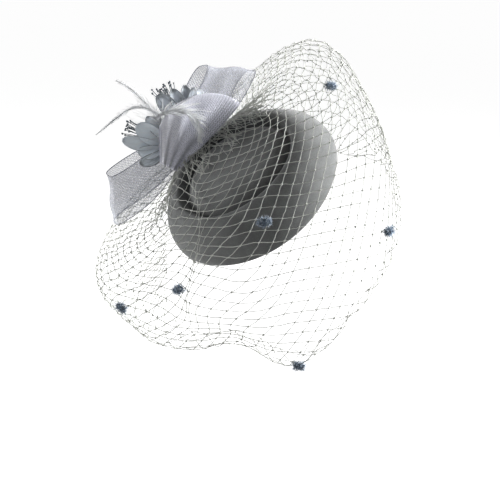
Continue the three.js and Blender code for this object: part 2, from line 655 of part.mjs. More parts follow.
const fascinator = new THREE.Group();
const hat = new THREE.Group();
hat.rotation.y = -LEAN;
hat.add(feltCrown(), seatedComb());
const back = new THREE.Group();
back.rotation.z = BOW_TURN;
back.add(netVeil(), ...DOTS.map(chenilleDot));
const fanSeat = pinchSeat(FAN_INSET, FAN_SHIFT, FAN_LIFT);
back.add(sheerBow(pinchSeat(BOW_INSET, BOW_SHIFT, BOW_LIFT)), pleatedFan(fanSeat));
const upperHeart = heartBehind(fanSeat, UPPER_HEART);
const lowerHeart = heartBehind(fanSeat, LOWER_HEART);
back.add(blossom("blossom_upper", upperHeart, UPPER_PETALS), stamens("stamens_upper", upperHeart, -12));
back.add(blossom("blossom_lower", lowerHeart, LOWER_PETALS), stamens("stamens_lower", lowerHeart, 30));
back.add(featherSpray(lowerHeart));
hat.add(back);
fascinator.add(hat);

export default fascinator;
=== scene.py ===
"""Dresses a side-worn cocktail hat on its frame: felt crown, net veil, sheer bow, blossoms and feathers."""

import math
from collections import namedtuple

import bpy
import numpy as np
from bpy.props import FloatProperty, FloatVectorProperty, IntProperty, PointerProperty
from mathutils import Matrix, Vector


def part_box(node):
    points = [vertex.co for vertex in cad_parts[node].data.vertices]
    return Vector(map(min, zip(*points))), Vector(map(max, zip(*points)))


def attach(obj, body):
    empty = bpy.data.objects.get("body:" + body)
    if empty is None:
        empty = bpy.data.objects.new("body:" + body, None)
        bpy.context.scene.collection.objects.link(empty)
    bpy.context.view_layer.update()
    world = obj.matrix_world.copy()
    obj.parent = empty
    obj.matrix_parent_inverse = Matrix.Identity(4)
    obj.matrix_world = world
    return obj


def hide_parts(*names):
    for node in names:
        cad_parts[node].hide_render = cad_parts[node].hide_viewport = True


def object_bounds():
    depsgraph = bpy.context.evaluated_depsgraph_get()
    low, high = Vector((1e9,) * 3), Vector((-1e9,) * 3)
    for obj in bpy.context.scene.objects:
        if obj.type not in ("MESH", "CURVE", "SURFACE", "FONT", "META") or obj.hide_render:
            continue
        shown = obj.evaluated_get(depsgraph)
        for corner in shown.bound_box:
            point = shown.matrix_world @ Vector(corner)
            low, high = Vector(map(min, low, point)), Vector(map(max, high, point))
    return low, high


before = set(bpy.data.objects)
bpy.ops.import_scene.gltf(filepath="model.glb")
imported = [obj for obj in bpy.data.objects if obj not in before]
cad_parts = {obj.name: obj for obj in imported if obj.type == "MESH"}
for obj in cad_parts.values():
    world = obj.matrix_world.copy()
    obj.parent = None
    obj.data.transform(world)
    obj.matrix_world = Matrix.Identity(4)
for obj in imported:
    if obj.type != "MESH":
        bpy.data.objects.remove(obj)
CAD_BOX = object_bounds()

bl_info = {
    "name": "Cocktail hat with veil",
    "version": (1, 0, 0),
    "blender": (4, 5, 0),
    "location": "3D View > Sidebar > Hat",
    "description": "Builds the felt crown, the net veil and the trims of a cocktail hat",
    "category": "Object",
}

# The shapes are worked out in millimetres in the crown's own frame, whose +Z is the crown's axis and whose +X
# leads to the bow, as the frame's solids are. They become metres when a mesh is made.
MM = 0.001
LEAN = math.radians(45)
BOW_TURN = math.radians(64)

CROWN_RADIUS = 90.0
CROWN_HEIGHT = 41.0
CROWN_SIDES = 144
CROWN_WOBBLE = 0.35
FELT = 2.6
GROOVE_DEPTH = 9.0
# Where the painted shade in the crown's groove lies and how wide it is, as shares of the crown's radius.
GROOVE_SHADE_OUT = 0.625
GROOVE_SHADE_WIDE = 0.05
TIP_RISE = 4.0
RIM_LIFT = 6.0

VEIL_REACH = 165.0
VEIL_DROP = 75.0
VEIL_CLEAR = 2.6
NET_WALL = 1.4
TUCK_TURN = 135.0
TUCK_SPAN = 10.0
TUCK_DEPTH = 22.0
TUCK_MIDDLE = 129.0
TUCK_REACH = 30.0
COLLAR_CLEAR = 1.8
COLLAR_INSET = 20.0
COLLAR_LONG = 34.0
COLLAR_SHORT = 9.0
COLLAR_DEPTH = 0.12
COLLAR_PULL = 36.0
COLLAR_START = 4.0
HEM_PAST = 0.14
HEM_UNDER = 7.0
MESH_DOWN = 5.7
DOT_COUNT = 6
DOT_WIDE = 5.6
DOT_THICK = 4.0

BRAID = 1.2
BRAID_WIDTH = 52.0
BRAID_PINCH = 18.0
BOW_CLOTH = 0.35
BOW_INSET = 4.0
BOW_SHIFT = 20.0
BOW_LIFT = -1.5
BOW_LOOP = 86.0
BOW_OPEN = 13.0
BOW_SKEW_LOW = (0.0, 2.0, 0.0)
BOW_SKEW_HIGH = (0.0, 17.0, -3.0)
FAN_CLOTH = 0.7
FAN_INSET = 31.0
FAN_SHIFT = 38.0
FAN_LIFT = 1.2
FAN_LENGTH = 82.0
FAN_START = math.radians(14)
FAN_END = math.radians(91)
FAN_OPEN = 4.0
FAN_TAIL = (0.0, 10.0, -4.5)
FAN_FULL = 1.6
LAYER_GAP = 1.7
PLEAT = 1.1

HEART_RADIUS = 6.0
HEART_FOLDS = 8
PETAL_CLOTH = 0.45
PETAL_LENGTH = 42.0
PETAL_WIDTH = 17.0
PETAL_ROOT = 4.5
PIECE_GAP = 0.3
STAMEN_LENGTH = 40.0
STAMEN_LEAN = 21
STAMENS = 6
FEATHER_LENGTH = 88.0
FEATHER_WIDTH = 9.0
FEATHER_HEAD = 4.0
FEATHER_ASIDE = (0.07, -0.76, 0.65)
FEATHER_DOWN = 240
FEATHER_WRAPS = 9

FLOOR_BOUNCE = 0.0
FLOOR_DIM = 0.34
FLOOR_DROP = 8.0
FLOOR_HALF = 40000.0
VIEW_AZIMUTH = -43.0
VIEW_ELEVATION = 10.0
VIEW_RIGHT = -6.095
VIEW_UP = -54.29
VIEW_LENS = 113.4

# Each light's name, its place along the view's right, up and back in metres, its size in metres and its share of
# the key light's power.
LIGHTS = (
    ("Key", (1.3, 0.5, -0.15), 0.7, 1.0),
    ("Front fill", (-0.7, 0.45, 1.1), 0.6, 0.035),
    ("Left fill", (-1.3, -0.1, -0.3), 0.8, 0.42),
)

# The crown from the middle of its tip to its rim: out as a share of its radius, up of its height, sunk of the
# groove's depth and rise of the tip's rise.
CROWN_PROFILE = np.array(
    (
        (0.0, 1.0, 0.0, 1.0),
        (0.3, 1.0, 0.0, 0.85),
        (0.47, 1.0, 0.0, 0.35),
        (0.54, 1.0, 0.2, 0.0),
        (0.585, 1.0, 0.72, 0.0),
        (0.62, 1.0, 1.0, 0.0),
        (0.65, 1.0, 0.78, 0.0),
        (0.68, 1.0, 0.15, 0.0),
        (0.72, 1.0, 0.0, 0.0),
        (0.8, 0.92, 0.0, 0.0),
        (0.88, 0.76, 0.0, 0.0),
        (0.95, 0.52, 0.0, 0.0),
        (0.985, 0.27, 0.0, 0.0),
        (1.0, 0.08, 0.0, 0.0),
        (1.0, 0.0, 0.0, 0.0),
    )
)

# The veil's runs, one row every 30 degrees from the bow. The brink is where the net leaves the crown, the belly
# where it is widest and the hem its free edge, as shares of the crown's size and of the veil's reach and drop.
VEIL_COLUMNS = ("brink_out", "brink_up", "belly_out", "belly_up", "hem_out", "hem_up")
VEIL_RUNS = np.array(
    (
        (1.1, 0.3, 0.82, 0.02, 0.86, -0.62),
        (1.12, 0.3, 0.94, 0.05, 0.93, -0.58),
        (1.12, 0.52, 1.03, 0.17, 0.98, -0.5),
        (1.08, 0.92, 1.03, 0.37, 1.04, -0.4),
        (0.95, 1.06, 0.96, 0.27, 1.01, -0.36),
        (0.87, 1.08, 0.84, 0.11, 0.98, -0.98),
        (0.85, 1.07, 0.73, 0.03, 0.88, -0.93),
        (0.87, 1.07, 0.72, 0.0, 0.78, -0.93),
        (0.95, 1.12, 0.79, 0.13, 0.72, -0.9),
        (1.08, 1.22, 0.84, 0.38, 0.72, -0.94),
        (1.15, 1.12, 1.0, 0.47, 0.71, -0.99),
        (1.12, 0.62, 1.04, 0.16, 0.78, -0.83),
    )
)

# How far the net's meshes wander, in meshes, with the waves round the veil and the rows in a wave down it. The
# first two move the columns and the others the rows.
NET_WANDER = ((0.16, 3, 3.1), (0.12, 8, 1.9), (0.22, 4, 2.7), (0.14, 9, 1.7))

# How wide the net's columns are spread in front at each share of the way from collar to hem.
NET_SPREAD = ((0.0, 0.42), (0.25, 0.4), (0.5, 0.58), (0.65, 0.8), (0.8, 0.95), (1.0, 1.0))

# Where the hem turns further under: the turn from the bow in degrees, how far in millimetres and how wide.
HEM_TURNS = ((78.0, 40.0, 36.0), (150.0, 9.0, 18.0))

# turn and lean are in degrees; long and wide are shares of a petal's length and width, cup of its width, and
# dark is how far its satin is darkened, petal by petal.
Petal = namedtuple("Petal", "turn dark lean long wide cup")
UPPER_PETALS = (
    Petal(3, 0.42, 8, 1.02, 0.85, 0.2),
    Petal(-18, 0.5, 5, 0.95, 0.72, 0.3),
    Petal(-37, 0.55, 6, 0.95, 0.62, 0.35),
    Petal(-48, 0.6, 2, 0.93, 0.5, 0.1),
    Petal(-62, 0.4, 4, 0.9, 0.8, 0.2),
)
LOWER_PETALS = (
    Petal(-2, 0.3, 10, 0.9, 0.6, 0.15),
    Petal(17, 0.0, 5, 0.93, 1.0, 0.35),
    Petal(42, 0.02, 7, 1.12, 0.75, 0.2),
    Petal(60, 0.2, 0, 0.75, 0.8, 0.35),
    Petal(82, 0.45, -2, 0.8, 0.7, 0.2),
)

# The folds along the bow's sheer braid: where across it from -1 to 1, how wide and how dense.
BOW_FOLDS = ((-0.82, 0.03, 0.5), (-0.5, 0.045, 0.7), (-0.28, 0.03, 0.5), (0.35, 0.05, 0.25), (0.93, 0.03, 0.5))

# Each quill's run holds shares of the feather length from the spray's head. wide and long are shares of the
# feather's width and of a barb's length, thick of the gauge, and splay is how far the barbs stand off the quill.
Quill = namedtuple("Quill", "wide long splay barbs thick run")
QUILLS = (
    Quill(0.8, 0.9, 0.5, 120, 1.0, ((0, 0, 0), (0.04, 0.03, 0.38), (0.1, 0.16, 0.5), (0.1, 0.65, 0.54))),
    Quill(0.7, 1.5, 0.6, 70, 1.0, ((0, 0, 0), (0.12, 0.02, 0.4), (0.22, 0.06, 0.7), (0.26, 0.11, 0.8))),
    Quill(
        1.2, 1.7, 0.6, 84, 2.3,
        (
            (0, 0, 0), (-0.02, 0.03, 0.26), (-0.17, -0.06, 0.36),
            (-0.22, -0.23, 0.27), (-0.24, -0.27, 0.03), (-0.24, -0.16, -0.18),
        ),
    ),
)


# Shapes


def eased(share):
    """Eases from 0 to 1 with no slope at either end."""
    x = np.clip(share, 0.0, 1.0)
    return x * x * (3.0 - 2.0 * x)


def blend(low, high, share):
    return low + (high - low) * share


def unit(vectors):
    return vectors / np.maximum(np.linalg.norm(vectors, axis=-1, keepdims=True), 1e-9)


def from_turn(turn, middle):
    """How far a turn is from a middle, from -180 to 180 degrees."""
    return (turn - middle + 180.0) % 360.0 - 180.0


def to_frame(points, turned=True):
    """From the crown's frame, turned to the bow or not, to the frame of the whole hat."""
    p = np.asarray(points, float)
    c, s = (math.cos(BOW_TURN), math.sin(BOW_TURN)) if turned else (1.0, 0.0)
    x, y, z = p[..., 0] * c - p[..., 1] * s, p[..., 0] * s + p[..., 1] * c, p[..., 2]
    cl, sl = math.cos(LEAN), math.sin(LEAN)
    return np.stack([x * cl - z * sl, y, x * sl + z * cl], -1)


def smooth_step(a, b, c, d, s):
    """The smooth curve from b to c, which comes from a and goes on to d."""
    return (2 * b + (c - a) * s + (2 * a - 5 * b + 4 * c - d) * s**2 + (3 * b - a - 3 * c + d) * s**3) / 2


def beyond(points):
    """The points with one more at either end, in line with the last two."""
    return np.concatenate([2 * points[:1] - points[1:2], points, 2 * points[-1:] - points[-2:-1]])


def catmull(points, steps):
    """A smooth line through the points, with steps pieces between each two."""
    p = beyond(points)
    s = (np.arange(steps) / steps)[:, None]
    return np.concatenate([*(smooth_step(*p[i : i + 4], s) for i in range(len(p) - 3)), p[-2:-1]])


def crown_profile(sunk):
    """The crown's outline as (out, up) points, with its groove or as a cloth spans it."""
    out, up, groove, rise = CROWN_PROFILE.T
    return np.stack([out * CROWN_RADIUS, up * CROWN_HEIGHT - sunk * groove * GROOVE_DEPTH + rise * TIP_RISE], 1)


def crown_top(out):
    """The crown's top as a cloth stretched over it meets it, and 0 outside."""
    outs, heights = crown_profile(sunk=0)[:-1].T
    return np.where(out >= CROWN_RADIUS, 0.0, np.interp(out, outs, heights))


def veil_values(turn):
    """The veil's table at any turn, smooth all the way round."""
    place = (turn / 360.0 % 1.0) * len(VEIL_RUNS)
    first = np.floor(place).astype(int)
    rows = (VEIL_RUNS[(first + step) % len(VEIL_RUNS)] for step in (-1, 0, 1, 2))
    return dict(zip(VEIL_COLUMNS, smooth_step(*rows, (place - first)[:, None]).T))


def centripetal(p0, p1, p2, p3):
    """The cubic from p1 to p2 of a centripetal spline, as four coefficients."""
    gap = lambda a, b: np.maximum(((b - a) ** 2).sum(1) ** 0.25, 1e-4)[:, None]
    t0, t1, t2 = gap(p0, p1), gap(p1, p2), gap(p2, p3)
    m1 = ((p1 - p0) / t0 - (p2 - p0) / (t0 + t1) + (p2 - p1) / t1) * t1
    m2 = ((p2 - p1) / t1 - (p3 - p1) / (t1 + t2) + (p3 - p2) / t2) * t1
    return p1, m1, -3 * p1 + 3 * p2 - 2 * m1 - m2, 2 * p1 - 2 * p2 + m1 + m2


def veil_points(turn, share, steps=60):
    """Points of the veil: turn in degrees from the bow, share 0 at the collar and 1 at the hem."""
    turn, share = np.broadcast_arrays(np.asarray(turn, float), np.asarray(share, float))
    shape = turn.shape
    turn, share = turn.ravel(), np.clip(share.ravel(), 0.0, 1.0)
    v = veil_values(turn)
    cos, sin = np.cos(np.radians(turn)), np.sin(np.radians(turn))
    collar = np.stack([CROWN_RADIUS - COLLAR_INSET + COLLAR_SHORT * cos, COLLAR_LONG * sin, 0 * cos], 1)
    collar[:, 2] = crown_top(np.hypot(collar[:, 0], collar[:, 1])) + COLLAR_CLEAR + NET_WALL / 2
    at = lambda out, up: np.stack([out * cos, out * sin, up], 1)
    brink = at(v["brink_out"] * CROWN_RADIUS, v["brink_up"] * CROWN_HEIGHT)
    belly = at(v["belly_out"] * VEIL_REACH, v["belly_up"] * VEIL_DROP)
    tuck = TUCK_DEPTH * np.exp(-(((turn % 360.0 - TUCK_TURN) / TUCK_SPAN) ** 2))
    hem = at(v["hem_out"] * VEIL_REACH - tuck, v["hem_up"] * VEIL_DROP)
    knots = [2 * collar - brink, collar, brink, belly, hem, 2 * hem - belly]
    pieces = [centripetal(*knots[k : k + 4]) for k in range(3)]

    def point(way):
        along = np.clip(way, 0.0, 1.0) * 3
        which = np.minimum(along.astype(int), 2)
        x = (along - which)[:, None]
        a, b, c, d = (np.choose(which[:, None], [piece[k] for piece in pieces]) for k in range(4))
        return a + b * x + c * x**2 + d * x**3

    line = np.stack([point(np.full(len(turn), i / steps)) for i in range(steps + 1)])
    gone = np.cumsum(np.linalg.norm(np.diff(line, axis=0), axis=2), axis=0)
    lengths = np.concatenate([np.zeros((1, len(turn))), gone])
    want = share * lengths[-1]
    i = np.clip((lengths < want).sum(0) - 1, 0, steps - 1)
    each = np.arange(len(turn))
    low, high = lengths[i, each], lengths[i + 1, each]
    p = point((i + (want - low) / np.maximum(high - low, 1e-9)) / steps)
    out = np.hypot(p[:, 0], p[:, 1])
    clear = blend(COLLAR_CLEAR, VEIL_CLEAR, eased(share / COLLAR_DEPTH)) + NET_WALL / 2
    p[:, 2] = np.where(out < CROWN_RADIUS, np.maximum(p[:, 2], crown_top(out) + clear), p[:, 2])
    return p.reshape(*shape, 3)


def pinch_seat(inset, shift, lift):
    """The middle of a pinch that stands upright on the net."""
    out = CROWN_RADIUS - inset
    turn, share = np.meshgrid(np.arange(0, 360, 4.0), np.arange(0, 0.4, 0.02))
    p = veil_points(turn, share).reshape(-1, 3)
    near = np.hypot(p[:, 0] - out, p[:, 1] - shift) < LAYER_GAP + PLEAT + BRAID
    top = p[near, 2].max(initial=0) + NET_WALL / 2
    return np.array([out, shift, top + lift + BRAID_PINCH / 2])


def braid_loop(seat, opening, centre, width, way, t, pleats, square=1.0, skew=0.0):
    """A loop of braid: way runs from 0 at one side of the pinch to pi at the other, and t goes across."""
    out, side = np.sin(way), np.cos(way)
    side = np.sign(side) * np.abs(side) ** square
    p = seat + centre + width + skew * (eased(out) * (side + 1) / 2)[..., None]
    ripple = PLEAT * np.sin(pleats * math.pi * t) * (1 - out**4)
    p[..., 0] += side * blend(LAYER_GAP, opening, eased(out)) + ripple
    return p


def bow_surface(s, t):
    """The sheer bow: its lower loop lies along +y and its upper along -y."""
    turn = 2 * math.pi * s
    low = np.sin(turn) >= 0
    way = np.where(low, turn, 2 * math.pi - turn)
    out = np.sin(way)
    spread = eased(1.6 * out)
    reach = out * np.where(low, 1 + 0.04 * (1 + t), 1.0) + 0.013 * out**4 * np.sin(4.5 * t + 0.6)
    centre = np.stack([0 * t, np.where(low, 1.01, -1.0) * reach, np.where(low, 0.12, 0.48) * reach], -1) * BOW_LOOP
    half = t * blend(BRAID_PINCH, BRAID_WIDTH, spread) / 2
    across_y, across_z = np.where(low, 0.4, -0.68), np.where(low, -0.92, -0.73)
    width = np.stack([0 * t, across_y * spread * half, (-1 + (1 + across_z) * spread) * half], -1)
    skew = np.where(low[..., None], BOW_SKEW_LOW, BOW_SKEW_HIGH)
    return to_frame(braid_loop(BOW_SEAT, BOW_OPEN, centre, width, way, t, 2.5, square=0.45, skew=skew))


def fan_surface(s, t):
    """The pleated fan, a loop that spreads from its pinch on the crown."""
    turn = blend(FAN_START, FAN_END, (t + 1) / 2)
    length = FAN_LENGTH * (0.46 + 0.54 * np.sin((t + 1) * math.pi / 4)) * (1 - 0.08 * np.cos(t * math.pi / 2))
    way = math.pi * (1 - s)
    out = np.sin(way)
    centre = np.stack([0 * t, -np.sin(turn) * out * length, np.cos(turn) * out * length], -1)
    half = t * (1 - out) * BRAID_PINCH / 2
    width = np.stack([0 * t, -0.35 * half, -half], -1) + (1 - out)[..., None] * FAN_TAIL
    return to_frame(braid_loop(FAN_SEAT, FAN_OPEN, centre, width, way, t, 3.5))


def turned(points, x=0.0, y=0.0):
    """Points turned about the Y axis and then about the X axis, in degrees."""
    cx, sx, cy, sy = (f(math.radians(a)) for a in (x, y) for f in (math.cos, math.sin))
    p = np.asarray(points, float)
    a, b, c = p[..., 0] * cy + p[..., 2] * sy, p[..., 1], -p[..., 0] * sy + p[..., 2] * cy
    return np.stack([a, b * cx - c * sx, b * sx + c * cx], -1)


def petal_surface(row, s, t):
    tip = np.sqrt(np.maximum(1 - (np.maximum(s - 0.64, 0.0) / 0.36) ** 2, 0.02))
    half = 1.15 * row.wide * PETAL_WIDTH * (0.4 + 0.6 * eased(s / 0.6)) * tip / 2
    bend = row.cup * PETAL_WIDTH * (t * t * np.sin(math.pi * s) * 0.8 - 0.9 * s**3)
    rise = PETAL_ROOT + s * (row.long * PETAL_LENGTH - PETAL_ROOT)
    return turned(np.stack([-bend, t * half, rise], -1), x=-row.turn, y=row.lean)


def heart_behind(seat, along, turn):
    """The middle of a blossom's heart, against the back of the fan."""
    behind = LAYER_GAP + BRAID / 2 + 2 * PIECE_GAP + HEART_RADIUS
    angle = math.radians(turn)
    return seat + np.array([behind, -along * math.sin(angle), along * math.cos(angle)])


BOW_SEAT = pinch_seat(BOW_INSET, BOW_SHIFT, BOW_LIFT)
FAN_SEAT = pinch_seat(FAN_INSET, FAN_SHIFT, FAN_LIFT)
UPPER_HEART = heart_behind(FAN_SEAT, along=31, turn=67)
LOWER_HEART = heart_behind(FAN_SEAT, along=8, turn=29)


# Meshes


def mesh_object(name, points, faces, layers=None, uvs=None, edges=()):
    """An object of these points, in millimetres, with float attributes by point and a UV by point."""
    mesh = bpy.data.meshes.new(name)
    mesh.from_pydata((np.asarray(points) * MM).tolist(), edges, [list(f) for f in faces])
    for label, values in (layers or {}).items():
        mesh.attributes.new(label, "FLOAT", "POINT").data.foreach_set("value", np.asarray(values, np.float32))
    if uvs is not None:
        corners = np.empty(len(mesh.loops), np.int32)
        mesh.loops.foreach_get("vertex_index", corners)
        mesh.uv_layers.new(name="UVMap").data.foreach_set("uv", np.asarray(uvs, np.float32)[corners].ravel())
    mesh.polygons.foreach_set("use_smooth", np.full(len(mesh.polygons), True))
    mesh.update()
    made = bpy.data.objects.new(name, mesh)
    bpy.context.scene.collection.objects.link(made)
    return made


def outward(points, faces):
    """The faces, turned over where they enclose a negative volume."""
    p = np.asarray(points)
    volume = 0.0
    for face in faces:
        for b, c in zip(face[1:-1], face[2:]):
            volume += np.dot(p[face[0]], np.cross(p[b], p[c]))
    return [tuple(reversed(f)) for f in faces] if volume < 0 else list(faces)


def wall(grid, thickness, looped=False):
    """A closed wall on a grid of points. Gives its points, its faces and the grid place of each point."""
    rows, columns = grid.shape[:2]
    along = np.roll(grid, -1, 0) - np.roll(grid, 1, 0) if looped else np.gradient(grid, axis=0)
    offset = unit(np.cross(along, np.gradient(grid, axis=1))) * thickness / 2
    points = np.concatenate([(grid + offset).reshape(-1, 3), (grid - offset).reshape(-1, 3)])
    under = rows * columns
    at = lambda i, j: (i % rows) * columns + j
    faces = []

    def close(a, b, flip):
        rim = (a, a + under, b + under, b)
        faces.append(rim[::-1] if flip else rim)

    for i in range(rows if looped else rows - 1):
        for j in range(columns - 1):
            a, b, c, d = at(i, j), at(i + 1, j), at(i + 1, j + 1), at(i, j + 1)
            faces += [(a, b, c, d), (d + under, c + under, b + under, a + under)]
        close(at(i, 0), at(i + 1, 0), False)
        close(at(i, columns - 1), at(i + 1, columns - 1), True)
    if not looped:
        for i, flip in ((0, True), (rows - 1, False)):
            for j in range(columns - 1):
                close(at(i, j), at(i, j + 1), flip)
    return points, outward(points, faces), np.tile(np.arange(rows * columns), 2)


def ring_faces(rings, sides):
    """The faces of a closed body: a pole, rings of points and another pole."""
    at = lambda ring, side: 1 + ring * sides + side % sides
    faces = []
    for side in range(sides):
        faces.append((0, at(0, side), at(0, side + 1)))
        for ring in range(rings - 1):
            faces.append((at(ring, side), at(ring + 1, side), at(ring + 1, side + 1), at(ring, side + 1)))
        faces.append((1 + rings * sides, at(rings - 1, side + 1), at(rings - 1, side)))
    return faces


def globe(rings, sides):
    """The angle from the pole and the angle round it of each point of a ball's rings."""
    return [(math.pi * i / rings, 2 * math.pi * j / sides) for i in range(1, rings) for j in range(sides)]


def joined(parts):
    """One list of points and of faces from several (points, faces, columns…) parts."""
    points, faces, extras, start = [], [], [], 0
    for p, f, *extra in parts:
        points.append(p)
        faces += [tuple(k + start for k in face) for face in f]
        extras.append(extra)
        start += len(p)
    return np.concatenate(points), faces, *(np.concatenate(column) for column in zip(*extras))


def grown(source, tree, **inputs):
    """Runs a node tree on an object once, and leaves its result as the object's plain mesh."""
    modifier = source.modifiers.new(tree.name, "NODES")
    modifier.node_group = tree
    for item in tree.interface.items_tree:
        label = item.name.lower().replace(" ", "_")
        if item.item_type == "SOCKET" and item.in_out == "INPUT" and label in inputs:
            modifier[item.identifier] = inputs[label]
    graph = bpy.context.evaluated_depsgraph_get()
    done = source.evaluated_get(graph)
    mesh = bpy.data.meshes.new_from_object(done, preserve_all_data_layers=True, depsgraph=graph)
    source.modifiers.clear()
    before = source.data
    source.data = mesh
    mesh.name = source.name
    bpy.data.meshes.remove(before)
    if not len(mesh.polygons):
        raise RuntimeError(f"{source.name} came out empty")
    return source


def strands(name, lines, gauge, sides, seed, material, thick=None, knots=None, knot_size=0.0001):
    """Tubes along loose lines, with each point's thickness as a share of the gauge, and knots at their own points."""
    counts = [len(line) for line in lines]
    ends = set(np.cumsum(counts).tolist())
    edges = [(k, k + 1) for k in range(sum(counts)) if k + 1 not in ends]
    beads = np.zeros((0, 3)) if knots is None else knots
    shares = [np.ones(count) for count in counts] if thick is None else thick
    layers = {
        "thick": np.concatenate([*shares, np.ones(len(beads))]),
        "knot": np.repeat((0.0, 1.0), (sum(counts), len(beads))),
    }
    piece = mesh_object(name, np.concatenate([*lines, beads]), (), layers, edges=edges)
    return grown(
        piece, strand_tree(), gauge=gauge, sides=sides, knot_size=knot_size, seed=seed, material=material
    )


# Node helpers


def put(tree, kind, inputs=None, **settings):
    """A node with its settings, and with its inputs set or linked."""
    node = tree.nodes.new(kind)
    for key, value in settings.items():
        setattr(node, key, value)
    for key, value in (inputs or {}).items():
        if isinstance(value, bpy.types.NodeSocket):
            tree.links.new(value, node.inputs[key])
        else:
            node.inputs[key].default_value = value
    return node


def math_of(tree, operation, *values):
    return put(tree, "ShaderNodeMath", dict(enumerate(values)), operation=operation).outputs[0]


def plus(tree, a, b):
    return math_of(tree, "ADD", a, b)


def times(tree, a, b):
    return math_of(tree, "MULTIPLY", a, b)


def ranged(tree, value, low, high, to_low, to_high, clamp=True):
    """The value, taken from one range to another."""
    inputs = {"Value": value, "From Min": low, "From Max": high, "To Min": to_low, "To Max": to_high}
    return put(tree, "ShaderNodeMapRange", inputs, clamp=clamp).outputs[0]


def noise(tree, vector, scale, detail, rough=0.5):
    inputs = {"Vector": vector, "Scale": scale, "Detail": detail, "Roughness": rough}
    return put(tree, "ShaderNodeTexNoise", inputs).outputs["Fac"]


def stretched(tree, vector, scale):
    return put(tree, "ShaderNodeMapping", {"Vector": vector, "Scale": scale}).outputs[0]


def marked(tree, name):
    """The piece's own attribute of this name."""
    return put(tree, "ShaderNodeAttribute", attribute_name=name).outputs["Fac"]


def made_once(name, kind, inputs, outputs, fill):
    """The group of this name, filled when it is first used. A socket with no default is of its label's kind."""
    if name in bpy.data.node_groups:
        return bpy.data.node_groups[name]
    tree = bpy.data.node_groups.new(name, kind)
    for way, sockets in (("INPUT", inputs), ("OUTPUT", outputs)):
        for label, default in sockets.items():
            socket = {float: "Float", int: "Int"}.get(type(default), label)
            made = tree.interface.new_socket(label, in_out=way, socket_type="NodeSocket" + socket)
            if default is not None:
                made.default_value = default
    fill(tree, tree.nodes.new("NodeGroupInput").outputs, tree.nodes.new("NodeGroupOutput").inputs)
    return tree


def geometry_once(name, fill, **sizes):
    """A Geometry Nodes tree with these sizes, a seed and a material as its inputs."""
    sizes = {label.replace("_", " "): default for label, default in sizes.items()}
    inputs = {"Geometry": None, **sizes, "Seed": 1, "Material": None}
    return made_once(name, "GeometryNodeTree", inputs, {"Geometry": None}, fill)


def random_of(tree, kind, low, high, seed):
    """A random float or vector for each place."""
    inputs = {"Min": low, "Max": high, "Seed": seed}
    return put(tree, "FunctionNodeRandomValue", inputs, data_type=kind).outputs["Value"]


def finish_tree(tree, parts, start, ends):
    """Joins the parts, realizes their instances, smooths them and sets the material."""
    last = put(tree, "GeometryNodeJoinGeometry")
    for part in parts:
        tree.links.new(part, last.inputs[0])
    for kind in ("GeometryNodeRealizeInstances", "GeometryNodeSetShadeSmooth", "GeometryNodeSetMaterial"):
        last = put(tree, kind, {"Geometry": last.outputs[0]})
    tree.links.new(start["Material"], last.inputs["Material"])
    tree.links.new(last.outputs[0], ends["Geometry"])


def strand_tree():
    """Tubes along loose lines, with a small knot wherever one is marked."""

    def fill(tree, start, ends):
        named = lambda label: put(
            tree, "GeometryNodeInputNamedAttribute", {"Name": label}, data_type="FLOAT"
        ).outputs["Attribute"]
        lines = put(tree, "GeometryNodeMeshToCurve", {"Mesh": start["Geometry"]})
        circle = {"Resolution": start["Sides"], "Radius": times(tree, start["Gauge"], 0.5)}
        ring = put(tree, "GeometryNodeCurvePrimitiveCircle", circle, mode="RADIUS")
        swept = {"Curve": lines.outputs[0], "Profile Curve": ring.outputs[0], "Scale": named("thick")}
        tubes = put(tree, "GeometryNodeCurveToMesh", {**swept, "Fill Caps": True})
        places = put(tree, "GeometryNodeMeshToPoints", {"Mesh": start["Geometry"], "Selection": named("knot")})
        bead = put(tree, "GeometryNodeMeshIcoSphere", {"Radius": start["Knot Size"], "Subdivisions": 1})
        set_on = {
            "Points": places.outputs[0],
            "Instance": bead.outputs["Mesh"],
            "Rotation": random_of(tree, "FLOAT_VECTOR", (0, 0, 0), (3, 3, 3), start["Seed"]),
            "Scale": random_of(tree, "FLOAT_VECTOR", (0.7, 0.7, 0.7), (1.25, 1.25, 1.25), start["Seed"]),
        }
        beads = put(tree, "GeometryNodeInstanceOnPoints", set_on)
        finish_tree(tree, (beads.outputs[0], tubes.outputs[0]), start, ends)

    return geometry_once("Strands and knots", fill, Gauge=0.0008, Sides=4, Knot_Size=0.001)


def tuft_tree():
    """Short tapered fibres that stand all over a body and lean every way."""

    def fill(tree, start, ends):
        spots = {"Mesh": start["Geometry"], "Density": start["Density"], "Seed": start["Seed"]}
        places = put(tree, "GeometryNodeDistributePointsOnFaces", spots)
        half = times(tree, start["Fibre Gauge"], 0.5)
        cone = {"Vertices": 3, "Radius Top": 0.0, "Radius Bottom": half, "Depth": start["Fibre Length"]}
        fibre = put(tree, "GeometryNodeMeshCone", cone)
        low = times(tree, start["Tilt"], -1.0)
        lean = random_of(tree, "FLOAT_VECTOR", low, start["Tilt"], start["Seed"])
        way = {"Rotation": places.outputs["Rotation"], "Rotate By": lean}
        turn = put(tree, "FunctionNodeRotateRotation", way, rotation_space="LOCAL")
        set_on = {
            "Points": places.outputs["Points"],
            "Instance": fibre.outputs["Mesh"],
            "Rotation": turn.outputs[0],
            "Scale": random_of(tree, "FLOAT", 0.6, 1.3, start["Seed"]),
        }
        pile = put(tree, "GeometryNodeInstanceOnPoints", set_on)
        finish_tree(tree, (pile.outputs[0], start["Geometry"]), start, ends)

    return geometry_once(
        "Tufted body", fill, Fibre_Length=0.003, Fibre_Gauge=0.0004, Density=3000000.0, Tilt=0.7
    )


# Finishes


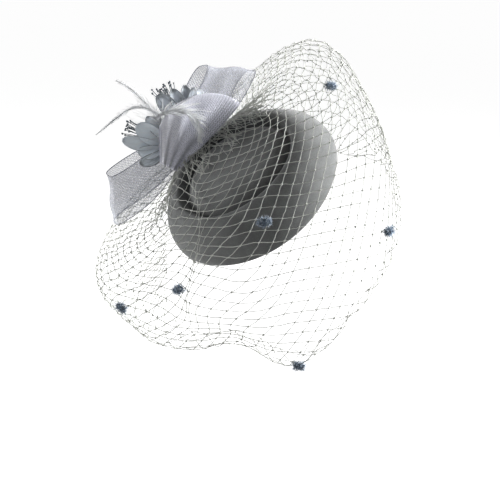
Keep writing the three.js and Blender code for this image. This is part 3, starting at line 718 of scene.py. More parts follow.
def fibre_grain(tree, vector, scale, patch):
    """Matted fibres: a fine grain with broader patches. Gives a shade from 0 to 1 and a height."""

    def fill(tree, start, ends):
        fine = noise(tree, start["Vector"], start["Scale"], 5.0, 0.7)
        broad = noise(tree, start["Vector"], times(tree, start["Scale"], 0.05), 3.0, 0.55)
        both = {"Factor": start["Patch"], "A": fine, "B": broad}
        mixed = put(tree, "ShaderNodeMix", both, data_type="FLOAT").outputs[0]
        tree.links.new(ranged(tree, mixed, 0.3, 0.7, 0.0, 1.0), ends["Shade"])
        tree.links.new(fine, ends["Height"])

    inputs = {"Vector": None, "Scale": 900.0, "Patch": 0.35}
    group = made_once("Fibre grain", "ShaderNodeTree", inputs, {"Shade": 0.0, "Height": 0.0}, fill)
    return put(
        tree, "ShaderNodeGroup", {"Vector": vector, "Scale": scale, "Patch": patch}, node_tree=group
    ).outputs


def crossed_threads(tree, vector, pitch, irregular):
    """Threads that cross on the bias, with open gaps between them. Gives the cover from 0 to 1 and a height."""

    def fill(tree, start, ends):
        parts = put(tree, "ShaderNodeSeparateXYZ", {"Vector": start["Vector"]}).outputs
        wave = math_of(tree, "DIVIDE", 2 * math.pi, start["Pitch"])
        wander = noise(tree, start["Vector"], 500.0, 2.0)
        drift = times(tree, wander, times(tree, start["Irregular"], 9.0))
        waves = []
        for operation in ("ADD", "SUBTRACT"):
            along = math_of(tree, operation, parts["X"], parts["Y"])
            waves.append(math_of(tree, "SINE", plus(tree, times(tree, along, wave), drift)))
        top = math_of(tree, "MAXIMUM", *waves)
        tree.links.new(ranged(tree, top, -0.4, 0.8, 0.0, 1.0), ends["Cover"])
        tree.links.new(top, ends["Height"])

    inputs = {"Vector": None, "Pitch": 0.0012, "Irregular": 0.3}
    group = made_once("Crossed threads", "ShaderNodeTree", inputs, {"Cover": 0.0, "Height": 0.0}, fill)
    return put(
        tree, "ShaderNodeGroup", {"Vector": vector, "Pitch": pitch, "Irregular": irregular}, node_tree=group
    ).outputs


def new_material(name):
    """An empty material with its shader, and its texture coordinates by name."""
    made = bpy.data.materials.new(name)
    made.use_nodes = True
    tree = made.node_tree
    tree.nodes.clear()
    shader = put(tree, "ShaderNodeBsdfPrincipled")
    put(tree, "ShaderNodeOutputMaterial", {"Surface": shader.outputs[0]})
    return made, tree, shader, put(tree, "ShaderNodeTexCoord").outputs


def scaled(colour, share):
    return tuple(min(channel * share, 1.0) for channel in colour)


def coloured(tree, shader, tone, colour, *stops):
    """Colours the shader by a tone, with stops of (tone, share of the colour)."""
    node = put(tree, "ShaderNodeValToRGB", {"Fac": tone})
    elements = node.color_ramp.elements
    while len(elements) < len(stops):
        elements.new(0.5)
    for element, (position, share) in zip(elements, stops):
        element.position = position
        element.color = (*scaled(colour, share), 1.0)
    tree.links.new(node.outputs["Color"], shader.inputs["Base Color"])


def bumped(tree, shader, height, distance, strength):
    node = put(tree, "ShaderNodeBump", {"Height": height, "Distance": distance, "Strength": strength})
    tree.links.new(node.outputs[0], shader.inputs["Normal"])


def set_shader(shader, **values):
    for label, value in values.items():
        shader.inputs[label.replace("_", " ")].default_value = value


def felt_material(colour):
    made, tree, shader, at = new_material("Wool felt")
    grain = fibre_grain(tree, at["Object"], 1100.0, 0.45)
    lifted = plus(tree, times(tree, grain["Shade"], 0.5), 0.5)
    # Painted shade: the felt is darkened by the sunk mask in the groove round the tip, standing in for the groove's
    # shadow.
    tone = math_of(tree, "SUBTRACT", lifted, times(tree, marked(tree, "sunk"), 0.6))
    coloured(tree, shader, tone, colour, (0.0, 0.3), (0.5, 0.68), (0.78, 1.0), (1.0, 1.3))
    hairs = noise(tree, at["Object"], 320.0, 6.0, 0.75)
    bumped(tree, shader, plus(tree, grain["Height"], hairs), 0.0005, 0.55)
    set_shader(shader, Roughness=0.95, Sheen_Weight=0.35, Sheen_Roughness=0.45, Specular_IOR_Level=0.2)
    return made


def sheer_material(colour):
    """Stiff see-through braid: its cover goes from open to closed with the piece's own density."""
    made, tree, shader, at = new_material("Sheer braid")
    weave = crossed_threads(tree, at["UV"], 0.003, 0.6)
    grain = fibre_grain(tree, at["UV"], 520.0, 0.25)
    lines = noise(tree, stretched(tree, at["UV"], (70.0, 900.0, 1.0)), 1.0, 2.0)
    tone = times(tree, plus(tree, weave["Cover"], grain["Shade"]), 0.4)
    tone = plus(tree, tone, times(tree, lines, 0.25))
    coloured(tree, shader, tone, colour, (0.2, 0.5), (0.5, 1.0), (0.8, 1.7))
    body = ranged(tree, marked(tree, "density"), 0.0, 1.0, 0.26, 0.86, clamp=False)
    cover = plus(tree, body, ranged(tree, tone, 0.0, 1.0, -0.28, 0.28))
    cover = math_of(tree, "MINIMUM", math_of(tree, "MAXIMUM", cover, 0.04), 1.0)
    tree.links.new(cover, shader.inputs["Alpha"])
    bumped(tree, shader, weave["Height"], 0.0002, 0.5)
    set_shader(shader, Roughness=0.42, Sheen_Weight=0.25, Sheen_Roughness=0.3, Specular_IOR_Level=0.6)
    return made


def fan_material(colour):
    made, tree, shader, at = new_material("Pleated braid")
    across = marked(tree, "across")
    wave = math_of(tree, "SINE", times(tree, across, 34 * math.pi))
    lines = times(tree, wave, ranged(tree, across, 0.5, 0.75, 0.35, 1.0))
    grain = fibre_grain(tree, at["Object"], 620.0, 0.25)
    weave = crossed_threads(tree, at["UV"], 0.0026, 0.6)
    tone = plus(tree, times(tree, lines, 0.12), times(tree, grain["Shade"], 0.38))
    tone = plus(tree, tone, times(tree, weave["Cover"], 0.34))
    # Painted light: the fan is made lighter where across is low and darker where it is high, for the brighter light on
    # its lower end.
    tone = math_of(tree, "SUBTRACT", tone, times(tree, across, 0.15))
    coloured(tree, shader, tone, colour, (0.1, 0.5), (0.42, 1.0), (0.85, 1.75))
    bumped(tree, shader, plus(tree, lines, times(tree, weave["Height"], 0.8)), 0.0003, 0.5)
    set_shader(shader, Roughness=0.5, Sheen_Weight=0.5, Sheen_Roughness=0.35, Specular_IOR_Level=0.5)
    return made


def petal_material(colour):
    made, tree, shader, at = new_material("Satin petal")
    grain = fibre_grain(tree, at["Object"], 500.0, 0.6)
    veins = noise(tree, stretched(tree, at["UV"], (45.0, 800.0, 1.0)), 1.0, 2.0)
    # The rim mask darkens the petals' edges and tips, and each petal by its darkness; on the heart it is painted shade
    # in the valleys of its folds.
    tone = plus(tree, marked(tree, "rim"), times(tree, grain["Shade"], 0.2))
    tone = plus(tree, tone, times(tree, math_of(tree, "SUBTRACT", veins, 0.5), 0.9))
    coloured(tree, shader, tone, colour, (0.1, 1.1), (0.5, 0.95), (0.8, 0.5), (1.0, 0.34))
    threads = crossed_threads(tree, at["UV"], 0.0009, 0.2)
    bumped(tree, shader, plus(tree, threads["Height"], grain["Height"]), 0.00015, 0.5)
    set_shader(shader, Roughness=0.34, Sheen_Weight=0.9, Sheen_Roughness=0.35, Specular_IOR_Level=0.7)
    return made


def thread_material(name, colour, spread=0.2, rough=0.6, sheen=0.2, scale=600.0):
    made, tree, shader, at = new_material(name)
    grain = fibre_grain(tree, at["Object"], scale, 0.5)
    coloured(tree, shader, grain["Shade"], colour, (0.1, 1 - spread), (0.5, 1.0), (0.9, 1 + spread))
    bumped(tree, shader, grain["Height"], 0.0001, 0.4)
    set_shader(shader, Roughness=rough, Sheen_Weight=sheen, Sheen_Roughness=0.4, Specular_IOR_Level=0.35)
    return made


def steel_material(colour):
    made, tree, shader, at = new_material("Comb steel")
    grain = fibre_grain(tree, stretched(tree, at["Object"], (1.0, 1.0, 0.06)), 1600.0, 0.4)
    coloured(tree, shader, grain["Shade"], colour, (0.1, 0.8), (0.9, 1.1))
    tree.links.new(ranged(tree, grain["Shade"], 0.0, 1.0, 0.24, 0.42), shader.inputs["Roughness"])
    bumped(tree, shader, grain["Height"], 0.00005, 0.3)
    set_shader(shader, Metallic=1.0)
    return made


def floor_material(colour, glow):
    """A floor that shows pale to the camera and sends little light back."""
    made, tree, shader, at = new_material("Studio floor")
    grain = fibre_grain(tree, at["Object"], 8.0, 0.5)
    coloured(tree, shader, grain["Shade"], scaled(colour, FLOOR_DIM), (0.0, 0.99), (1.0, 1.0))
    seen = put(tree, "ShaderNodeLightPath").outputs["Is Camera Ray"]
    tree.links.new(ranged(tree, seen, 0.0, 1.0, FLOOR_BOUNCE, glow), shader.inputs["Emission Strength"])
    set_shader(shader, Roughness=0.9, Specular_IOR_Level=0.1, Emission_Color=(*colour, 1.0))
    return made


def dressed(piece, node=None, material=None):
    """Rides the piece on the hat, its material and the node that it stands for."""
    if material is not None:
        piece.data.materials.clear()
        piece.data.materials.append(material)
    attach(piece, "root")
    if node:
        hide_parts(node)
    return piece


# Pieces


def build_crown(settings):
    outer = catmull(crown_profile(sunk=1), 4)
    outer[:, 0] = np.minimum(outer[:, 0], CROWN_RADIUS)
    way = unit(np.gradient(outer, axis=0))
    inner = outer + np.stack([way[:, 1], -way[:, 0]], 1) * FELT
    inner[0] = (0, outer[0, 1] - FELT)
    inner[-1] = (CROWN_RADIUS - FELT, 0)
    bent = (0.8, 1.57, 2.35)
    rim = [(CROWN_RADIUS - FELT * (1 - math.cos(a)) / 2, -FELT * math.sin(a) / 3) for a in bent]
    profile = np.concatenate([outer[1:], rim, inner[1:][::-1]])
    turn = 2 * math.pi * np.arange(CROWN_SIDES) / CROWN_SIDES
    lift = RIM_LIFT * np.sin(turn - BOW_TURN) ** 2
    points, sunk = [(0, 0, outer[0, 1])], [0.0]
    for out, up in profile:
        share = float(eased(up / CROWN_HEIGHT))
        wobble = CROWN_WOBBLE * np.sin(3 * turn + up / 9) * eased(out / CROWN_RADIUS) * (1 - 0.6 * share)
        reach = out + wobble * (out < CROWN_RADIUS - 0.5)
        points += np.stack([reach * np.cos(turn), reach * np.sin(turn), up + lift * (1 - share)], 1).tolist()
        # The sunk mask is painted shade for the groove: it is highest in the groove's middle and falls off to either
        # side.
        sunk += [math.exp(-(((out / CROWN_RADIUS - GROOVE_SHADE_OUT) / GROOVE_SHADE_WIDE) ** 2))] * CROWN_SIDES
    points = to_frame([*points, (0, 0, inner[0, 1])], turned=False)
    faces = outward(points, ring_faces(len(profile), CROWN_SIDES))
    crown = mesh_object("crown", points, faces, {"sunk": [*sunk, 0.0]})
    dressed(crown, "felt_crown", felt_material(settings.felt_colour))


def run_lengths():
    """The veil's length from collar to hem at each whole turn from the bow, in millimetres."""
    turn, share = np.meshgrid(np.arange(0, 360, 5.0), np.linspace(0, 1, 41))
    steps = np.linalg.norm(np.diff(veil_points(turn, share), axis=0), axis=2)
    return np.interp(np.arange(360), np.arange(0, 365, 5), np.append(steps.sum(0), steps.sum(0)[0]))


def bunched(turn, share):
    """Draws the net's columns together at the fold that the tuck makes."""
    away = from_turn(turn, TUCK_MIDDLE)
    near = np.clip(np.abs(away) / TUCK_REACH, 0.0, 1.0)
    pull = eased((share - 0.1) / 0.12) * (1 - eased((share - 0.75) / 0.2))
    return turn - away * (1 - near**0.8) * pull


def tucked_under(turn):
    """How far the net's edge turns under and inwards at each turn from the bow."""
    long = HEM_UNDER
    for middle, more, wide in HEM_TURNS:
        long = long + more * np.exp(-((from_turn(turn, middle) / wide) ** 2))
    return long


def net_points(turn, share):
    """The veil, and past a share of 1 the edge that is turned under it."""
    turn, share = np.broadcast_arrays(turn, share)
    p = veil_points(turn, np.minimum(share, 1.0))
    down = unit(veil_points(turn, 1.0 + 0 * share) - veil_points(turn, 0.97 + 0 * share))
    inwards = np.stack([-np.cos(np.radians(turn)), -np.sin(np.radians(turn)), 0.15 + 0 * turn], -1)
    past = np.clip((share - 1.0) / HEM_PAST, 0.0, 1.0) * math.pi / 2
    long = tucked_under(turn)[..., None]
    return p + long * (down * 0.14 * np.sin(2 * past)[..., None] + inwards * (1 - np.cos(past))[..., None])


def net_place(column, row, columns, lengths, phases):
    """The turn and share of a place on the flat net, whose meshes keep their size where it isn't gathered."""
    angle = np.radians(column * 360.0 / columns)
    waves = zip(NET_WANDER, phases)
    moved = [far * np.sin(around * angle + row / down + phase) for (far, around, down), phase in waves]
    column, row = column + moved[0] + moved[1], row + moved[2] + moved[3]
    flat = COLLAR_START + MESH_DOWN * row + COLLAR_PULL * (1 - np.exp(-row / 9.0))
    half = np.radians(column * 360.0 / columns - 180.0) / 2
    turn = np.degrees(2 * half) + 180.0
    for _ in range(4):
        length = np.interp(turn % 360.0, np.arange(360), lengths)
        share = flat / length
        spread = np.interp(share, *zip(*NET_SPREAD))
        whole = np.round(half / math.pi)
        rest = half - whole * math.pi
        turn = 180.0 + np.degrees(2 * (np.arctan2(np.sin(rest), spread * np.cos(rest)) + whole * math.pi))
    over = 1 + HEM_PAST * (flat - length) / tucked_under(turn % 360.0)
    return bunched(turn % 360.0, share), np.where(share <= 1, share, over)


def net_lines(columns, seed):
    """The net's strands from collar to hem, the knots where they cross, and the cords along its edges."""
    random = np.random.RandomState(seed)
    phases = random.uniform(0, 6, 4)
    steps = 3
    edge = 1 + HEM_PAST
    lengths = run_lengths()
    rows = int(max(lengths) / MESH_DOWN) + 8
    row = (np.arange(rows * steps + 1) / steps)[None, :]
    start = np.arange(0, columns, 2)[:, None]
    between = np.abs(row - np.round(row)) > 0.1
    lines, thick = [], []

    def add(line, gauge):
        lines.append(line)
        thick.append(np.full(len(line), gauge))

    for way in (1, -1):
        turn, share = net_place(start + way * row, row + 0.0 * start, columns, lengths, phases)
        loose = eased((np.abs(turn - 180.0) - 45.0) / 60.0)
        slack = (0.35 + 1.1 * loose + 1.6 * np.exp(-share / 0.1)) * between
        jitter = random.uniform(-1, 1, (*turn.shape, 3)) * slack[..., None]
        p = net_points(turn, np.minimum(share, edge)) + jitter
        for line, along in zip(p, share):
            add(line[: int((along < edge).sum()) + 1], 1.0)
    column, at = np.meshgrid(np.arange(columns), np.arange(rows + 1))
    met = (column + at) % 2 == 0
    turn, share = net_place(column[met].astype(float), at[met].astype(float), columns, lengths, phases)
    knots = net_points(turn, share)[share < edge]
    for turn in np.concatenate([np.arange(-110, 110, 5.0), np.arange(120, 295, 2.6)]):
        way = np.linspace(0, 1, 22)
        reach = random.uniform(0.09, 0.21)
        swing = random.uniform(-1, 1, 3) * (26, 14, 0.05)
        curl = np.sin(random.uniform(2, 7) * way + random.uniform(0, 6))
        share = reach * way + swing[2] * np.sin(math.pi * way) ** 2 * way
        lifted = veil_points(turn + swing[0] * way + swing[1] * curl * way, share)
        lifted[:, 2] += random.uniform(0.2, 2.2) * np.sin(math.pi * way)
        add(lifted, 0.85)
    ring = np.append(np.arange(0, 360, 1.5), 0.0)
    front = np.arange(96, 206, 1.5)
    add(net_points(ring, edge - 0.02 * (1 + np.sin(np.radians(19 * ring)))), 0.8)
    add(net_points(front, 1.0 - 0.012 * np.sin(np.radians(23 * front))), 0.9)
    add(veil_points(ring, 0.0), 1.3)
    add(veil_points(ring, 0.03), 1.0)
    return lines, thick, knots


def build_veil(settings):
    lines, thick, knots = net_lines(settings.net_columns, 4)
    thread = thread_material("Net thread", settings.net_colour, rough=0.5, sheen=0.1)
    lines = [to_frame(line) for line in lines]
    size = settings.knot_size / 2
    veil = strands("veil", lines, settings.net_gauge, 4, 3, thread, thick, to_frame(knots), size)
    dressed(veil, "net_veil")


def lobes(centre, axis, side):
    """A pinched two-lobed body, as a cut length of chenille has."""
    parts = []
    rings, around = 5, 8
    for sign in (-1, 1):
        middle = centre + side * sign * DOT_WIDE * 0.45
        points = [middle + axis * DOT_THICK / 2]
        for a, b in globe(rings, around):
            away = unit(np.cross(axis, side)) * math.cos(b) + side * math.sin(b) * 0.72
            points.append(middle + axis * math.cos(a) * DOT_THICK / 2 + away * math.sin(a) * DOT_WIDE / 2)
        points.append(middle - axis * DOT_THICK / 2)
        parts.append((np.array(points), outward(points, ring_faces(rings - 1, around))))
    return joined(parts)


def build_dots(settings):
    material = thread_material("Chenille", settings.dot_colour, spread=0.55, rough=0.85, sheen=0.5, scale=500.0)
    random = np.random.RandomState(8)
    crown_axis = to_frame(np.array([0.0, 0.0, 1.0]))
    pile = {"fibre_length": settings.dot_fibre, "fibre_gauge": 0.0005, "density": 3.2e6, "tilt": 0.8}
    for k in range(DOT_COUNT):
        node = f"net_dot_{k + 1}"
        low, high = (np.array(corner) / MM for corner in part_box(node))
        centre = (low + high) / 2
        axis = unit(centre + 20 * crown_axis)
        side = unit(np.cross(axis, unit(random.normal(size=3)) * 0.6 + (0.0, 0.0, 1.0)))
        dot = mesh_object(f"dot_{k + 1}", *lobes(centre, axis, side))
        grown(dot, tuft_tree(), seed=11 + k, material=material, **pile)
        dressed(dot, node)


def sheet_grid(surface, along, across, looped=False):
    s = np.arange(along)[:, None] / along if looped else np.linspace(0, 1, along + 1)[:, None]
    s, t = np.broadcast_arrays(s, np.linspace(-1, 1, across + 1)[None, :])
    return surface(s, t), s, t


def metre_uvs(s, t, length, width):
    """A map in metres of the flat sheet, so that its weave keeps its size."""
    return np.stack([s * length * MM, (t + 1) * width * MM / 2], -1).reshape(-1, 2)


def selvedges(name, grid, looped, gauge, label, colour):
    """Cords along the two edges of a sheet's grid."""
    edges = [np.concatenate([edge, edge[:1]]) if looped else edge for edge in (grid[:, 0], grid[:, -1])]
    return dressed(strands(name, edges, gauge, 5, 1, thread_material(label, colour, rough=0.4)))


def build_bow(settings):
    grid, s, t = sheet_grid(bow_surface, 240, 28, looped=True)
    way = np.where(s < 0.5, 2 * s, 2 * (1 - s))
    folds = sum(depth * np.exp(-(((t - at) / wide) ** 2)) for at, wide, depth in BOW_FOLDS)
    folds = np.where(s > 0.5, folds, 0.4 * folds[:, ::-1]) * eased((way - 0.4) / 0.3)
    density = eased((way - 0.52) / 0.05) + folds
    points, faces, place = wall(grid, BOW_CLOTH, looped=True)
    length = 4 * BOW_LOOP
    uvs = metre_uvs(s, t, length, BRAID_WIDTH)[place]
    bow = mesh_object("bow", points, faces, {"density": density.ravel()[place]}, uvs)
    colour = settings.braid_colour
    dressed(bow, "bow_loops", sheer_material(colour))
    rims = selvedges("bow_selvedges", grid, True, 0.0009, "Braid selvedge", scaled(colour, 0.9))


def build_fan(settings):
    grid, s, t = sheet_grid(fan_surface, 72, 96)
    points, faces, place = wall(grid, FAN_CLOTH)
    length = 2 * FAN_LENGTH
    uvs = metre_uvs(s, t, length, FAN_FULL * BRAID_WIDTH)[place]
    fan = mesh_object("fan", points, faces, {"across": t.ravel()[place]}, uvs)
    colour = settings.fan_colour
    dressed(fan, "bow_fan", fan_material(colour))
    rims = selvedges("fan_selvedges", grid, False, 0.0011, "Fan selvedge", scaled(colour, 0.8))
    cells = np.cross(np.gradient(grid, axis=0), np.gradient(grid, axis=1))


def petal_part(row, heart, seed):
    """One satin petal with soft creases, its rim mask and its map."""
    phase = np.random.RandomState(seed).uniform(0, 6, 3)

    def surface(s, t):
        crease = 0.45 * np.sin(5 * t + phase[0] + 2 * s) * np.sin(math.pi * s)
        crease = crease + 0.7 * np.abs(t) ** 3 * np.sin(9 * s + phase[1])
        return to_frame(petal_surface(row, s, t) + np.stack([crease, 0 * s, 0 * s], -1) + heart)

    grid, s, t = sheet_grid(surface, 26, 14)
    points, faces, place = wall(grid, PETAL_CLOTH)
    rim = np.maximum(np.abs(t) ** 7, eased((s - 0.86) / 0.14)) * 0.6 * eased(s / 0.3) + row.dark
    return points, faces, rim.ravel()[place], metre_uvs(s, t, PETAL_LENGTH, PETAL_WIDTH)[place]


def heart_part(heart, seed):
    """The gathered middle of a blossom: a ball with folds that run from pole to pole."""
    rings, around = 10, 30
    phase = np.random.RandomState(seed).uniform(0, 6)
    points, rim = [heart + (0, 0, HEART_RADIUS)], [0.9]
    for a, b in globe(rings, around):
        fold = math.sin(HEART_FOLDS * b + phase)
        r = HEART_RADIUS * (1 - 0.1 * math.sin(a) * (1 + fold) / 2)
        points.append(heart + r * np.array([math.sin(a) * math.cos(b), math.sin(a) * math.sin(b), math.cos(a)]))
        # Painted shade: the rim mask darkens the heart in the valleys of its folds; it is darkest at the two poles.
        rim.append(0.35 + 0.25 * fold)
    points = to_frame([*points, heart - (0, 0, HEART_RADIUS)])
    faces = outward(points, ring_faces(rings - 1, around))
    return points, faces, np.array([*rim, 0.9]), np.zeros((len(points), 2))


def build_blossoms(settings):
    material = petal_material(settings.petal_colour)
    for name, heart, rows, seed in (("upper", UPPER_HEART, UPPER_PETALS, 20), ("lower", LOWER_HEART, LOWER_PETALS, 40)):
        parts = [petal_part(row, heart, seed + k) for k, row in enumerate(rows)]
        area = sum(0.75 * row.wide * row.long for row in rows) * PETAL_LENGTH * PETAL_WIDTH * MM**2
        points, faces, rim, uvs = joined([*parts, heart_part(heart, seed)])
        blossom = mesh_object(f"blossom_{name}_petals", points, faces, {"rim": rim}, uvs)
        dressed(blossom, f"blossom_{name}", material)


def build_stamens(settings):
    material = thread_material("Stamen thread", settings.stamen_colour, spread=0.55, rough=0.45, sheen=0.0, scale=260.0)
    for name, heart, turn, seed in (("upper", UPPER_HEART, -12, 5), ("lower", LOWER_HEART, 30, 6)):
        random = np.random.RandomState(seed)
        lean = lambda points: turned(turned(points, y=STAMEN_LEAN), x=-turn)
        push = lean(np.array([0.0, 0.0, 1.0])) + (0.9, 0, 0)
        foot = heart + unit(push) * (HEART_RADIUS + 2.5)
        way = np.linspace(0, 1, 12)
        lines = []
        for i in range(3 * STAMENS):
            spread = (i / 3 - (STAMENS - 1) / 2) * 0.09
            length = STAMEN_LENGTH * (0.82 + 0.18 * random.rand())
            curl = random.uniform(-1, 1, 2) * 3.2
            bend = random.uniform(-1, 1, 2) * 1.1 * np.sin(2 * math.pi * way)[:, None]
            x = ((i % 3) - 1) * 0.06 * way * length + curl[0] * way**3 + bend[:, 0]
            y = spread * way * length + curl[1] * way**3 + bend[:, 1]
            lines.append(to_frame(lean(np.stack([x, y, way * length], 1)) + foot))
        thick = [blend(0.8, 1.2, way)] * len(lines)
        tips = np.array([line[-1] for line in lines])
        tuft = strands(f"stamen_tuft_{name}", lines, 0.0006, 4, seed, material, thick, tips, 0.0011)
        dressed(tuft, f"stamens_{name}")


def quill_line(run, count):
    """A smooth quill of evenly spaced points through the run's points."""
    p = beyond(np.array(run, float) * FEATHER_LENGTH)[:, None, :]
    x = np.linspace(0, 1, 24)[:, None]
    pieces = []
    for k in range(len(run) - 1):
        a, b, c, d = (q[0] for q in centripetal(*p[k : k + 4]))
        pieces.append(a + b * x + c * x**2 + d * x**3)
    line = np.concatenate(pieces)
    steps = np.concatenate([[0], np.cumsum(np.linalg.norm(np.diff(line, axis=0), axis=1))])
    even = np.linspace(0, steps[-1], count)
    return np.stack([np.interp(even, steps, line[:, k]) for k in range(3)], 1)


def build_feathers(settings):
    head = LOWER_HEART + np.array(FEATHER_ASIDE) * (HEART_RADIUS + 2 * FEATHER_HEAD)
    random = np.random.RandomState(17)
    lines, thick = [], []
    way = np.linspace(0, 1, 6)[:, None]

    def add(line, gauge):
        lines.append(to_frame(line))
        thick.append(gauge)

    for quill in QUILLS:
        count = quill.barbs
        line = quill_line(quill.run, count)
        tangent = unit(np.gradient(line, axis=0))
        across = unit(np.cross((1.0, 0.0, 0.0), tangent))
        out = np.cross(tangent, across)
        add(line + head, blend(1.9, 0.6, np.linspace(0, 1, count)))
        for i in range(6, count - 1):
            half = quill.wide * FEATHER_WIDTH * math.sin(math.pi * (0.12 + 0.83 * (i / count))) / 2
            for side in (-1, 1):
                long = half * quill.long * random.uniform(0.9, 2.6)
                lift = random.uniform(-0.45, 0.45)
                splay = quill.splay * random.uniform(0.6, 1.3)
                barb = line[i] + tangent[i] * long * (0.75 * way + 0.25 * way**2)
                barb = barb + side * across[i] * long * splay * way * (1 - 0.3 * way) + out[i] * lift * long * way**2
                add(barb + head, quill.thick * blend(0.8, 0.25, way[:, 0]))
    for _ in range(FEATHER_DOWN):
        reach = unit(np.array([random.uniform(-0.3, 0.6), random.normal(0.1, 0.55), random.uniform(0.2, 1.0)]))
        bend = random.normal(0, 0.3, 3)
        long = random.uniform(13.0, 32.0)
        add(head + reach * FEATHER_HEAD + (reach * way + bend * way**2) * long, blend(0.95, 0.2, way[:, 0]))
    turn = np.linspace(0, 2 * math.pi, 15)
    for k in range(FEATHER_WRAPS):
        up = (k - FEATHER_WRAPS // 2) * 0.8
        r = math.sqrt(max(FEATHER_HEAD**2 - up**2, 0.3))
        add(head + np.stack([r * np.cos(turn), r * np.sin(turn), up + 0 * turn], 1), np.full(len(turn), 1.8))
    material = thread_material("Pearl feather", settings.feather_colour, spread=0.22, rough=0.55, sheen=0.5)
    spray = strands("feathers", lines, 0.0006, 3, 2, material, thick)
    dressed(spray, "feather_spray")


def build_comb(settings):
    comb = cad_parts["hair_comb"]
    comb.data.materials.clear()
    comb.data.materials.append(steel_material(settings.steel_colour))


def build_stage(settings):
    a, e = math.radians(VIEW_AZIMUTH), math.radians(VIEW_ELEVATION)
    right = np.array([math.cos(a), math.sin(a), 0.0])
    back = np.array([math.sin(a) * math.cos(e), -math.cos(a) * math.cos(e), math.sin(e)])
    up = np.cross(back, right)
    spot = (right * VIEW_RIGHT + up * VIEW_UP) * MM + back * settings.camera_distance
    camera = bpy.data.objects.new("Camera", bpy.data.cameras.new("Camera"))
    camera.data.sensor_width = 36.0
    camera.data.lens = VIEW_LENS
    camera.data.clip_start, camera.data.clip_end = 0.05, 200.0
    camera.matrix_world = Matrix([*np.stack([right, up, back, spot], 1).tolist(), [0.0, 0.0, 0.0, 1.0]])
    bpy.context.scene.collection.objects.link(camera)
    bpy.context.scene.camera = camera

    low = CAD_BOX[0][2] / MM - FLOOR_DROP
    corners = [(x * FLOOR_HALF, y * FLOOR_HALF, low) for x, y in ((-1, -1), (1, -1), (1, 1), (-1, 1))]
    floor = mesh_object("floor", corners, [(0, 1, 2, 3)])
    floor.data.materials.append(floor_material(settings.floor_colour, settings.floor_glow))

    world = bpy.data.worlds.new("Studio")
    world.use_nodes = True
    sky = world.node_tree
    at = put(sky, "ShaderNodeTexCoord").outputs["Generated"]
    height = put(sky, "ShaderNodeSeparateXYZ", {"Vector": at}).outputs["Z"]
    background = sky.nodes["Background"].inputs
    sky.links.new(ranged(sky, height, 0.0, 0.8, settings.fill_strength, 0.1), background["Strength"])
    background["Color"].default_value = (1.0, 1.0, 1.0, 1.0)
    bpy.context.scene.world = world
    bpy.context.scene.view_settings.view_transform = "Standard"
    for name, place, size, share in LIGHTS:
        data = bpy.data.lights.new(name, "AREA")
        data.shape = "DISK"
        data.size = size
        data.energy = settings.key_power * share
        lamp = bpy.data.objects.new(name, data)
        lamp.location = Vector(right * place[0] + up * place[1] + back * place[2])
        lamp.rotation_euler = (-lamp.location).to_track_quat("-Z", "Y").to_euler()
        bpy.context.scene.collection.objects.link(lamp)


# The add-on


def colour_setting(name, description, default):
    return FloatVectorProperty(
        name=name, description=description, subtype="COLOR", size=3, min=0.0, max=1.0, default=default
    )


def length_setting(name, description, default):
    return FloatProperty(name=name, description=description, default=default, unit="LENGTH")


class HatSettings(bpy.types.PropertyGroup):
    """Sizes and colours of the hat and its studio."""

    net_columns: IntProperty(name="Net columns", description="Half meshes round the veil", default=88, min=20, max=120)
    net_gauge: length_setting("Net thread", "Thickness of a strand of the net", 0.00066)
    knot_size: length_setting("Knot", "Width of a knot of the net", 0.0021)
    dot_fibre: length_setting("Chenille pile", "Length of a fibre of a dot", 0.0042)
    felt_colour: colour_setting("Felt", "Colour of the wool felt", (0.143, 0.148, 0.147))
    braid_colour: colour_setting("Sheer braid", "Colour of the bow", (0.35, 0.365, 0.42))
    fan_colour: colour_setting("Pleated braid", "Colour of the fan", (0.74, 0.75, 0.86))
    petal_colour: colour_setting("Petals", "Colour of the satin petals", (0.78, 0.85, 0.93))
    feather_colour: colour_setting("Feathers", "Colour of the spray", (0.86, 0.88, 0.9))
    stamen_colour: colour_setting("Stamens", "Colour of the stamens", (0.12, 0.14, 0.16))
    net_colour: colour_setting("Net", "Colour of the net", (0.475, 0.485, 0.45))
    dot_colour: colour_setting("Chenille", "Colour of the dots", (0.2, 0.26, 0.34))
    steel_colour: colour_setting("Comb", "Colour of the comb", (0.55, 0.56, 0.58))
    floor_colour: colour_setting("Floor", "Colour of the studio floor", (0.93, 0.93, 0.93))
    floor_glow: FloatProperty(name="Floor glow", description="Brightness that the floor shows", default=1.0)
    key_power: FloatProperty(name="Key light", description="Power of the key light", default=74.0, unit="POWER")
    fill_strength: FloatProperty(name="Fill", description="Strength of the light from all round", default=0.3)
    camera_distance: length_setting("Camera distance", "From the camera to the hat", 1.5)


class HAT_OT_stage(bpy.types.Operator):
    """Sets up the floor, the soft light and the camera"""

    bl_idname = "hat.stage"
    bl_label = "Stage"

    def execute(self, context):
        build_stage(context.scene.hat)
        return {"FINISHED"}


class HAT_OT_crown(bpy.types.Operator):
    """Builds the blocked felt crown with the sunk ring round its tip"""

    bl_idname = "hat.crown"
    bl_label = "Felt crown"

    def execute(self, context):
        build_crown(context.scene.hat)
        return {"FINISHED"}


class HAT_OT_comb(bpy.types.Operator):
    """Gives the hair comb its steel"""

    bl_idname = "hat.comb"
    bl_label = "Hair comb"

    def execute(self, context):
        build_comb(context.scene.hat)
        return {"FINISHED"}


class HAT_OT_veil(bpy.types.Operator):
    """Nets the veil from its gathered collar to its hem"""

    bl_idname = "hat.veil"
    bl_label = "Net veil"

    def execute(self, context):
        build_veil(context.scene.hat)
        return {"FINISHED"}


class HAT_OT_dots(bpy.types.Operator):
    """Ties the chenille dots to the net"""

    bl_idname = "hat.dots"
    bl_label = "Chenille dots"

    def execute(self, context):
        build_dots(context.scene.hat)
        return {"FINISHED"}


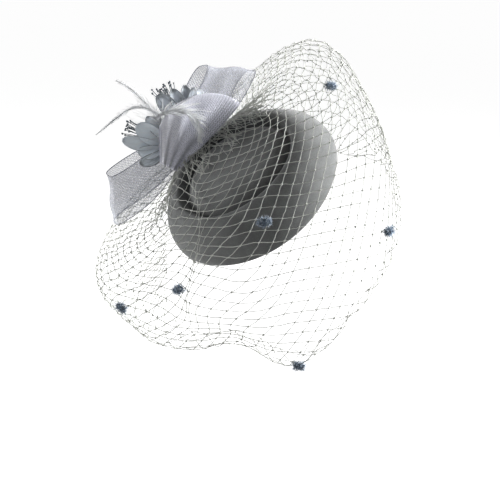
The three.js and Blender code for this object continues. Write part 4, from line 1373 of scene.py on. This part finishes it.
class HAT_OT_bow(bpy.types.Operator):
    """Loops the sheer braid into a bow"""

    bl_idname = "hat.bow"
    bl_label = "Sheer bow"

    def execute(self, context):
        build_bow(context.scene.hat)
        return {"FINISHED"}


class HAT_OT_fan(bpy.types.Operator):
    """Pleats the dense braid into a fan"""

    bl_idname = "hat.fan"
    bl_label = "Pleated fan"

    def execute(self, context):
        build_fan(context.scene.hat)
        return {"FINISHED"}


class HAT_OT_blossoms(bpy.types.Operator):
    """Gathers the satin petals into two blossoms"""

    bl_idname = "hat.blossoms"
    bl_label = "Blossoms"

    def execute(self, context):
        build_blossoms(context.scene.hat)
        return {"FINISHED"}


class HAT_OT_stamens(bpy.types.Operator):
    """Binds the two tufts of stamens"""

    bl_idname = "hat.stamens"
    bl_label = "Stamens"

    def execute(self, context):
        build_stamens(context.scene.hat)
        return {"FINISHED"}


class HAT_OT_feathers(bpy.types.Operator):
    """Fans the barbs of the feathers along their quills"""

    bl_idname = "hat.feathers"
    bl_label = "Feathers"

    def execute(self, context):
        build_feathers(context.scene.hat)
        return {"FINISHED"}


STEPS = (
    HAT_OT_stage,
    HAT_OT_crown,
    HAT_OT_comb,
    HAT_OT_veil,
    HAT_OT_dots,
    HAT_OT_bow,
    HAT_OT_fan,
    HAT_OT_blossoms,
    HAT_OT_stamens,
    HAT_OT_feathers,
)


class HAT_PT_panel(bpy.types.Panel):
    """Lists the hat's pieces and its settings"""

    bl_idname = "HAT_PT_panel"
    bl_label = "Cocktail hat"
    bl_space_type = "VIEW_3D"
    bl_region_type = "UI"
    bl_category = "Hat"

    def draw(self, context):
        for step in STEPS:
            self.layout.operator(step.bl_idname)
        for name in HatSettings.__annotations__:
            self.layout.prop(context.scene.hat, name)


def register():
    for kind in (HatSettings, *STEPS, HAT_PT_panel):
        bpy.utils.register_class(kind)
    bpy.types.Scene.hat = PointerProperty(type=HatSettings)


def unregister():
    del bpy.types.Scene.hat
    for kind in reversed((HatSettings, *STEPS, HAT_PT_panel)):
        bpy.utils.unregister_class(kind)


def main():
    register()
    for step in STEPS:
        family, name = step.bl_idname.split(".")
        getattr(getattr(bpy.ops, family), name)()


if __name__ == "__main__":
    main()
